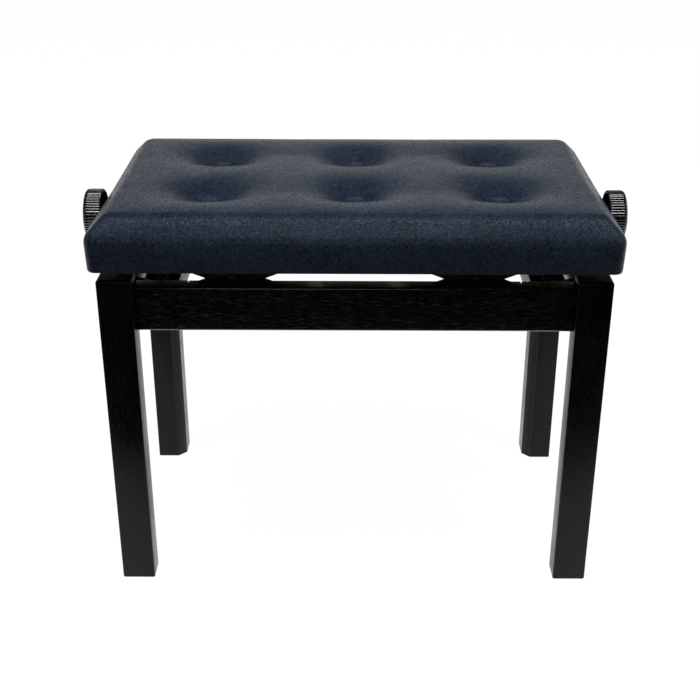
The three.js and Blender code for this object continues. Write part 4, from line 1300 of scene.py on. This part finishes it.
class BENCH_OT_knobs(bpy.types.Operator):
    """Make the two ribbed hand knobs"""

    bl_idname = "bench.knobs"
    bl_label = "Knobs"

    def execute(self, context):
        settings = context.scene.bench_lift
        tree = rib_tree()
        for side, sx in SIDES:
            low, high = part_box(f"knob_{side}")
            radius = (high.z - low.z) / 2
            drum = knob_drum(radius, high.x - low.x, settings.rib_count * COLUMNS_PER_RIB)
            pitch = 2 * math.pi * radius / settings.rib_count
            width = pitch * settings.rib_share
            values = {
                "Rib Count": settings.rib_count, "Rib Pitch": pitch, "Rib Width": width,
                "Crest Radius": width / 2 / math.sin(settings.rib_bend),
                "Groove Depth": settings.rib_depth, "Material": knob_plastic(),
            }
            mesh = grown(link("knob_draft", drum), tree, values)
            inner = low.x if sx > 0 else high.x
            turn = Matrix.Rotation(sx * math.pi / 2, 4, "Y")
            mesh.transform(Matrix.Translation((inner, 0, (low.z + high.z) / 2)) @ turn)
            finished(
                f"knob_{side}_ribbed", shade(mesh, 28), knob_plastic(),
                "screw", "knob_plastic", f"knob_{side}",
            )
        return {"FINISHED"}


# ---------------------------------------------------------------- seat


class BENCH_OT_seat_board(bpy.types.Operator):
    """Make the plywood seat board and the rim under it"""

    bl_idname = "bench.seat_board"
    bl_label = "Seat board"

    def execute(self, context):
        for node in ("seat_board", "rim_front", "rim_rear", "rim_left", "rim_right"):
            dressed(node, "plywood", plywood(), "plywood", 0.0005)
        return {"FINISHED"}


def button_centres():
    boxes = [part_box(node) for node in BUTTONS]
    return [((low.x + high.x) / 2, (low.y + high.y) / 2) for low, high in boxes]


STRETCH_ROOM = 0.35
VOXEL = 0.0045
FACES_UP = 0.2
SETTLE_FRAMES = 20
EVEN_ROUNDS = 12
HEM_HELD = 0.003
BUTTON_FREE = 0.018
BUTTON_FADE = 0.008
SCREW_WAY_RADIUS = 0.0085
HEM_TURN_IN = 0.0155
HEM_CORNER = 0.008


class CushionShape:
    """Sizes of the cushion, and the height of its top at a point."""

    def __init__(self, settings):
        self.settings = settings
        self.low, self.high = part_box("cushion")
        self.half_x, self.half_y = self.high.x, self.high.y
        self.board_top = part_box("seat_board")[1].z
        self.edge_z = self.board_top + settings.edge_rise
        self.buttons = button_centres()

    def from_edge(self, x, y):
        """Distance of a point inside the outline from the edge."""
        corner = self.settings.corner
        in_x, in_y = self.half_x - abs(x), self.half_y - abs(y)
        if in_x >= corner or in_y >= corner:
            return min(in_x, in_y)
        return corner - math.hypot(corner - in_x, corner - in_y)

    def shoulder(self, inset):
        """Round the ridge, up the straight shoulder and over the brow to the top."""
        s = self.settings
        slope = s.shoulder_slope
        ridge_end = s.ridge_radius * (1 - math.sin(slope))
        ridge_top = s.ridge_radius * math.cos(slope)
        meeting = ridge_end + (s.crown_rise - ridge_top) / math.tan(slope)
        brow = s.brow_radius * math.tan(slope / 2)
        if inset >= meeting + brow:
            return s.crown_rise
        if inset <= ridge_end:
            return math.sqrt(max(s.ridge_radius ** 2 - (s.ridge_radius - inset) ** 2, 0.0))
        if inset <= meeting - brow * math.cos(slope):
            return ridge_top + (inset - ridge_end) * math.tan(slope)
        over = meeting + brow - inset
        return s.crown_rise - s.brow_radius + math.sqrt(s.brow_radius ** 2 - over ** 2)

    def crown(self, x, y):
        s = self.settings
        swell = (1 - (x / self.half_x) ** 2) * (1 - (y / self.half_y) ** 2)
        rise = self.shoulder(self.from_edge(x, y))
        room = STRETCH_ROOM * s.stretch_top * min(rise / s.crown_rise, 1)
        return self.edge_z + rise + s.swell * swell - room

    def dimple(self, x, y):
        s = self.settings
        deepest = 0.0
        for bx, by in self.buttons:
            far = math.hypot((x - bx) / s.dimple_reach_x, (y - by) / s.dimple_reach_y)
            deepest = max(deepest, math.exp(-(far ** s.dimple_power)))
        return s.dimple_depth * deepest

    def ring(self, inset, height=None, push=0.0):
        radius = max(self.settings.corner - inset, 0.003)
        outline = rounded_outline(self.half_x - inset, self.half_y - inset, radius, 60, 36, 8)
        ring = [(x, y, self.crown(x, y) if height is None else height) for x, y in outline]
        return [(x + math.copysign(push, x), y + math.copysign(push, y), z) for x, y, z in ring]

    def rings(self):
        """From under the hem up the side, over the ridge and in towards the middle."""
        out = self.settings.side_swell
        bottom = self.low.z - 0.006
        side = self.edge_z - self.low.z
        rings = [self.ring(0.03, bottom), self.ring(0.0014, bottom)]
        for part in (0.0, 0.2, 0.45, 0.7, 1.0):
            rings.append(self.ring(0.0, self.low.z + side * part, out * part))
        for inset in (0.0003, 0.001, 0.0022, 0.004, 0.0055):
            rings.append(self.ring(inset, None, out * (1 - inset / 0.009)))
        insets = (0.0085, 0.0115, 0.0145, 0.017, 0.0195, 0.022, 0.025)
        insets += (0.029, 0.036, 0.045, 0.06, 0.08, 0.11, 0.14)
        return rings + [self.ring(inset) for inset in insets]


def remeshed(mesh, voxel):
    holder = link("cushion_draft", mesh)
    even = holder.modifiers.new("Even mesh", "REMESH")
    even.mode = "VOXEL"
    even.voxel_size = voxel
    even.use_smooth_shade = True
    return evaluated(holder)


def press_dimples(mesh, shape):
    """Lowers the top of the cushion by the depth of its dimples."""
    form = form_of(mesh)
    form.normal_update()
    for vert in form.verts:
        if vert.normal.z > FACES_UP and vert.co.z > shape.board_top:
            vert.co.z -= shape.dimple(vert.co.x, vert.co.y)
    written(form, mesh)


def cover_grip(vert, shape):
    """1 where the cover is held: in the hem and under the buttons."""
    if vert.z < shape.low.z + HEM_HELD:
        return 1.0
    nearest = min(math.hypot(vert.x - bx, vert.y - by) for bx, by in shape.buttons)
    return min(max((BUTTON_FREE - nearest) / BUTTON_FADE, 0.0), 1.0)


def most_stretch(vert, shape, settings):
    """How far the filling may push the cover at a point."""
    part = min(max((vert.z - shape.edge_z) / (0.6 * settings.crown_rise), 0.0), 1.0)
    eased = part * part * (3 - 2 * part)
    return settings.stretch_side + (settings.stretch_top - settings.stretch_side) * eased


def evened(moves, mesh, rounds):
    """Moves of the vertices, each averaged with those of its neighbours a few times over."""
    around = [[] for _ in moves]
    for edge in mesh.edges:
        first, second = edge.vertices
        around[first].append(second)
        around[second].append(first)
    for _ in range(rounds):
        moves = [
            move * 0.5 + sum((moves[i] for i in near), Vector()) * (0.5 / len(near))
            if near else move
            for move, near in zip(moves, around)
        ]
    return moves


def inflated(mesh, shape, settings):
    """The cover pushed out by its filling, as cloth, held at the hem and the buttons."""
    rest = [vert.co.copy() for vert in mesh.vertices]
    holder = link("cushion_cloth", mesh)
    grip = holder.vertex_groups.new(name="grip")
    for vert in mesh.vertices:
        weight = cover_grip(vert.co, shape)
        if weight > 0:
            grip.add([vert.index], weight, "REPLACE")
    cloth = holder.modifiers.new("Cover", "CLOTH")
    for label, value in (
        ("quality", 5), ("mass", 0.3), ("tension_stiffness", 18), ("compression_stiffness", 18),
        ("bending_stiffness", 0.8), ("use_pressure", True),
        ("uniform_pressure_force", settings.pressure), ("vertex_group_mass", "grip"),
    ):
        setattr(cloth.settings, label, value)
    cloth.settings.effector_weights.gravity = 0
    cloth.point_cache.frame_start = 1
    cloth.point_cache.frame_end = SETTLE_FRAMES
    scene = bpy.context.scene
    for step in range(1, SETTLE_FRAMES + 1):
        scene.frame_set(step)
    result = evaluated(holder)
    scene.frame_set(1)
    moves = []
    for vert, start in zip(result.vertices, rest):
        move = vert.co - start
        limit = most_stretch(start, shape, settings)
        moves.append(move.normalized() * limit * math.tanh(move.length / limit))
    for vert, start, move in zip(result.vertices, rest, evened(moves, result, EVEN_ROUNDS)):
        vert.co = start + move
    return result


def smoothed(mesh, name):
    holder = link(name, mesh)
    finer = holder.modifiers.new("Finer", "SUBSURF")
    finer.levels = finer.render_levels = 1
    return evaluated(holder)


def screw_way(shape):
    """The opening in both sides of the cover for the cross screw, round at the top."""
    low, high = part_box("screw_shaft")
    axis, radius = (low.z + high.z) / 2, SCREW_WAY_RADIUS
    outline = [(-radius, shape.low.z - 0.01)]
    arch = [i * math.pi / 16 for i in range(17)]
    outline += [(-radius * math.cos(turn), axis + radius * math.sin(turn)) for turn in arch]
    outline += [(radius, shape.low.z - 0.01)]
    mesh = prism(outline, -shape.half_x - 0.02, shape.half_x + 0.02)
    mesh.transform(Matrix(((0, 0, 1, 0), (1, 0, 0, 0), (0, 1, 0, 0), (0, 0, 0, 1))))
    return mesh


def hem_bowl(shape):
    """What is left of the cushion below: a flat underside with a tight round edge."""
    levels = (
        (0.003, 0.0), (0.0022, 0.0001), (0.0016, 0.0004), (0.0012, 0.0009), (0.001, 0.0015),
        (-0.02, 0.002), (-0.02, 0.09),
    )
    rings = []
    for inset, rise in levels:
        radius = shape.settings.corner - min(inset, 0.003)
        outline = rounded_outline(shape.half_x - inset, shape.half_y - inset, radius, 3, 3, 10)
        rings.append([(x, y, shape.low.z + rise) for x, y in outline])
    return lofted(rings, "hem_bowl")


def hollowed(mesh, shape):
    """Takes out the room for the board and its rim, leaving the hem turned in below."""
    board_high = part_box("seat_board")[1]
    rim_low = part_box("rim_front")[0].z
    play = 0.0003
    corner = shape.settings.corner - (shape.half_x - board_high.x)
    inner = rounded_outline(board_high.x + play, board_high.y + play, corner + play, 2, 2, 12)
    reach_x, reach_y = board_high.x - HEM_TURN_IN, board_high.y - HEM_TURN_IN
    hem = rounded_outline(reach_x, reach_y, HEM_CORNER, 2, 2, 8)
    cutters = [
        ("INTERSECT", hem_bowl(shape)),
        ("DIFFERENCE", prism(inner, rim_low - 0.0002, board_high.z + play)),
        ("DIFFERENCE", prism(hem, shape.low.z - 0.01, rim_low + 0.0005)),
        ("DIFFERENCE", screw_way(shape)),
    ]
    holder = link("cushion_cut", mesh)
    tools = []
    for operation, cutter in cutters:
        tools.append(link("cushion_tool", cutter))
        cut = holder.modifiers.new("Room", "BOOLEAN")
        cut.operation = operation
        cut.object = tools[-1]
        cut.solver = "EXACT"
    result = evaluated(holder)
    for tool in tools:
        bpy.data.objects.remove(tool)
    return result


class BENCH_OT_cushion(bpy.types.Operator):
    """Make the buttoned cushion in its stretched cover"""

    bl_idname = "bench.cushion"
    bl_label = "Cushion"

    def execute(self, context):
        settings = context.scene.bench_seat
        shape = CushionShape(settings)
        mesh = remeshed(lofted(shape.rings(), "cushion_form"), VOXEL)
        press_dimples(mesh, shape)
        mesh = inflated(mesh, shape, settings)
        mesh = hollowed(smoothed(mesh, "cushion_fine"), shape)
        piece = finished(
            "cushion_cover", shade(mesh, 50), leatherette(), "seat", "vinyl", "cushion",
        )
        return {"FINISHED"}


def button_form(radius, thick):
    """A covered button: a low dome with a tight round edge."""
    profile = [
        (0.0, 0.0), (radius * 0.8, 0.0), (radius * 0.95, thick * 0.1), (radius, thick * 0.28),
        (radius * 0.985, thick * 0.45), (radius * 0.93, thick * 0.62),
        (radius * 0.82, thick * 0.77), (radius * 0.65, thick * 0.89),
        (radius * 0.42, thick * 0.965), (radius * 0.18, thick * 0.995), (0.0, thick),
    ]
    return turned(profile, 40, "button_form")


class BENCH_OT_buttons(bpy.types.Operator):
    """Make the six covered buttons"""

    bl_idname = "bench.buttons"
    bl_label = "Buttons"

    def execute(self, context):
        rise = context.scene.bench_seat.button_rise
        for node in BUTTONS:
            low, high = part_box(node)
            mesh = button_form((high.x - low.x) / 2, high.z - low.z)
            place = ((low.x + high.x) / 2, (low.y + high.y) / 2, low.z + rise)
            mesh.transform(Matrix.Translation(place))
            finished(f"{node}_covered", shade(mesh, 60), leatherette(), "seat", "vinyl", node)
        return {"FINISHED"}


STAPLE_INSET = 0.0105
STAPLE_CORNER = 0.03
SCREW_CLEAR = 0.016


def staple_places(pitch):
    """Along the middle of the hem, clear of the corners and of the cross screw."""
    low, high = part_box("cushion")
    places = []
    for sign in (-1, 1):
        for axis, along in ((0, (1, 0, 0)), (1, (0, 1, 0))):
            reach = high[axis] - STAPLE_CORNER
            steps = max(int(2 * reach / pitch), 1)
            for step in range(steps + 1):
                point = [0.0, 0.0, low.z]
                point[axis] = -reach + 2 * reach * step / steps
                point[1 - axis] = sign * (high[1 - axis] - STAPLE_INSET)
                if axis == 0 or abs(point[1]) > SCREW_CLEAR:
                    places.append((tuple(point), DOWN, along))
    return places


class BENCH_OT_staples(bpy.types.Operator):
    """Staple the hem of the cover to the rim"""

    bl_idname = "bench.staples"
    bl_label = "Staples"

    def execute(self, context):
        places = staple_places(context.scene.bench_seat.staple_pitch)
        scattered(
            "hem_staples", staple_wire(), places, staple_steel(), "seat", "zinc_steel",
            spin=0.18, seed=11,
        )
        return {"FINISHED"}


# ---------------------------------------------------------------- panel and registration

OPERATORS = (
    BENCH_OT_camera,
    BENCH_OT_stage,
    BENCH_OT_wooden_frame,
    BENCH_OT_feet,
    BENCH_OT_corner_fittings,
    BENCH_OT_base,
    BENCH_OT_arms,
    BENCH_OT_seat_fittings,
    BENCH_OT_cross_screw,
    BENCH_OT_knobs,
    BENCH_OT_seat_board,
    BENCH_OT_cushion,
    BENCH_OT_buttons,
    BENCH_OT_staples,
)


class BENCH_PT_panel(bpy.types.Panel):
    """The bench's pieces and their settings"""

    bl_idname = "BENCH_PT_panel"
    bl_label = "Piano Bench"
    bl_space_type = "VIEW_3D"
    bl_region_type = "UI"
    bl_category = "Piano Bench"

    def draw(self, context):
        for attribute, group in GROUPS:
            box = self.layout.box()
            settings = getattr(context.scene, attribute)
            box.label(text=group.__doc__)
            for label in group.__annotations__:
                box.prop(settings, label)
        column = self.layout.column(align=True)
        for operator in OPERATORS:
            column.operator(operator.bl_idname)


CLASSES = tuple(group for _, group in GROUPS) + OPERATORS + (BENCH_PT_panel,)


def register():
    for item in CLASSES:
        bpy.utils.register_class(item)
    for attribute, group in GROUPS:
        setattr(bpy.types.Scene, attribute, bpy.props.PointerProperty(type=group))


def unregister():
    for attribute, _ in GROUPS:
        delattr(bpy.types.Scene, attribute)
    for item in reversed(CLASSES):
        bpy.utils.unregister_class(item)


def main():
    register()
    for operator in OPERATORS:
        group, action = operator.bl_idname.split(".")
        getattr(getattr(bpy.ops, group), action)()


if __name__ == "__main__":
    main()
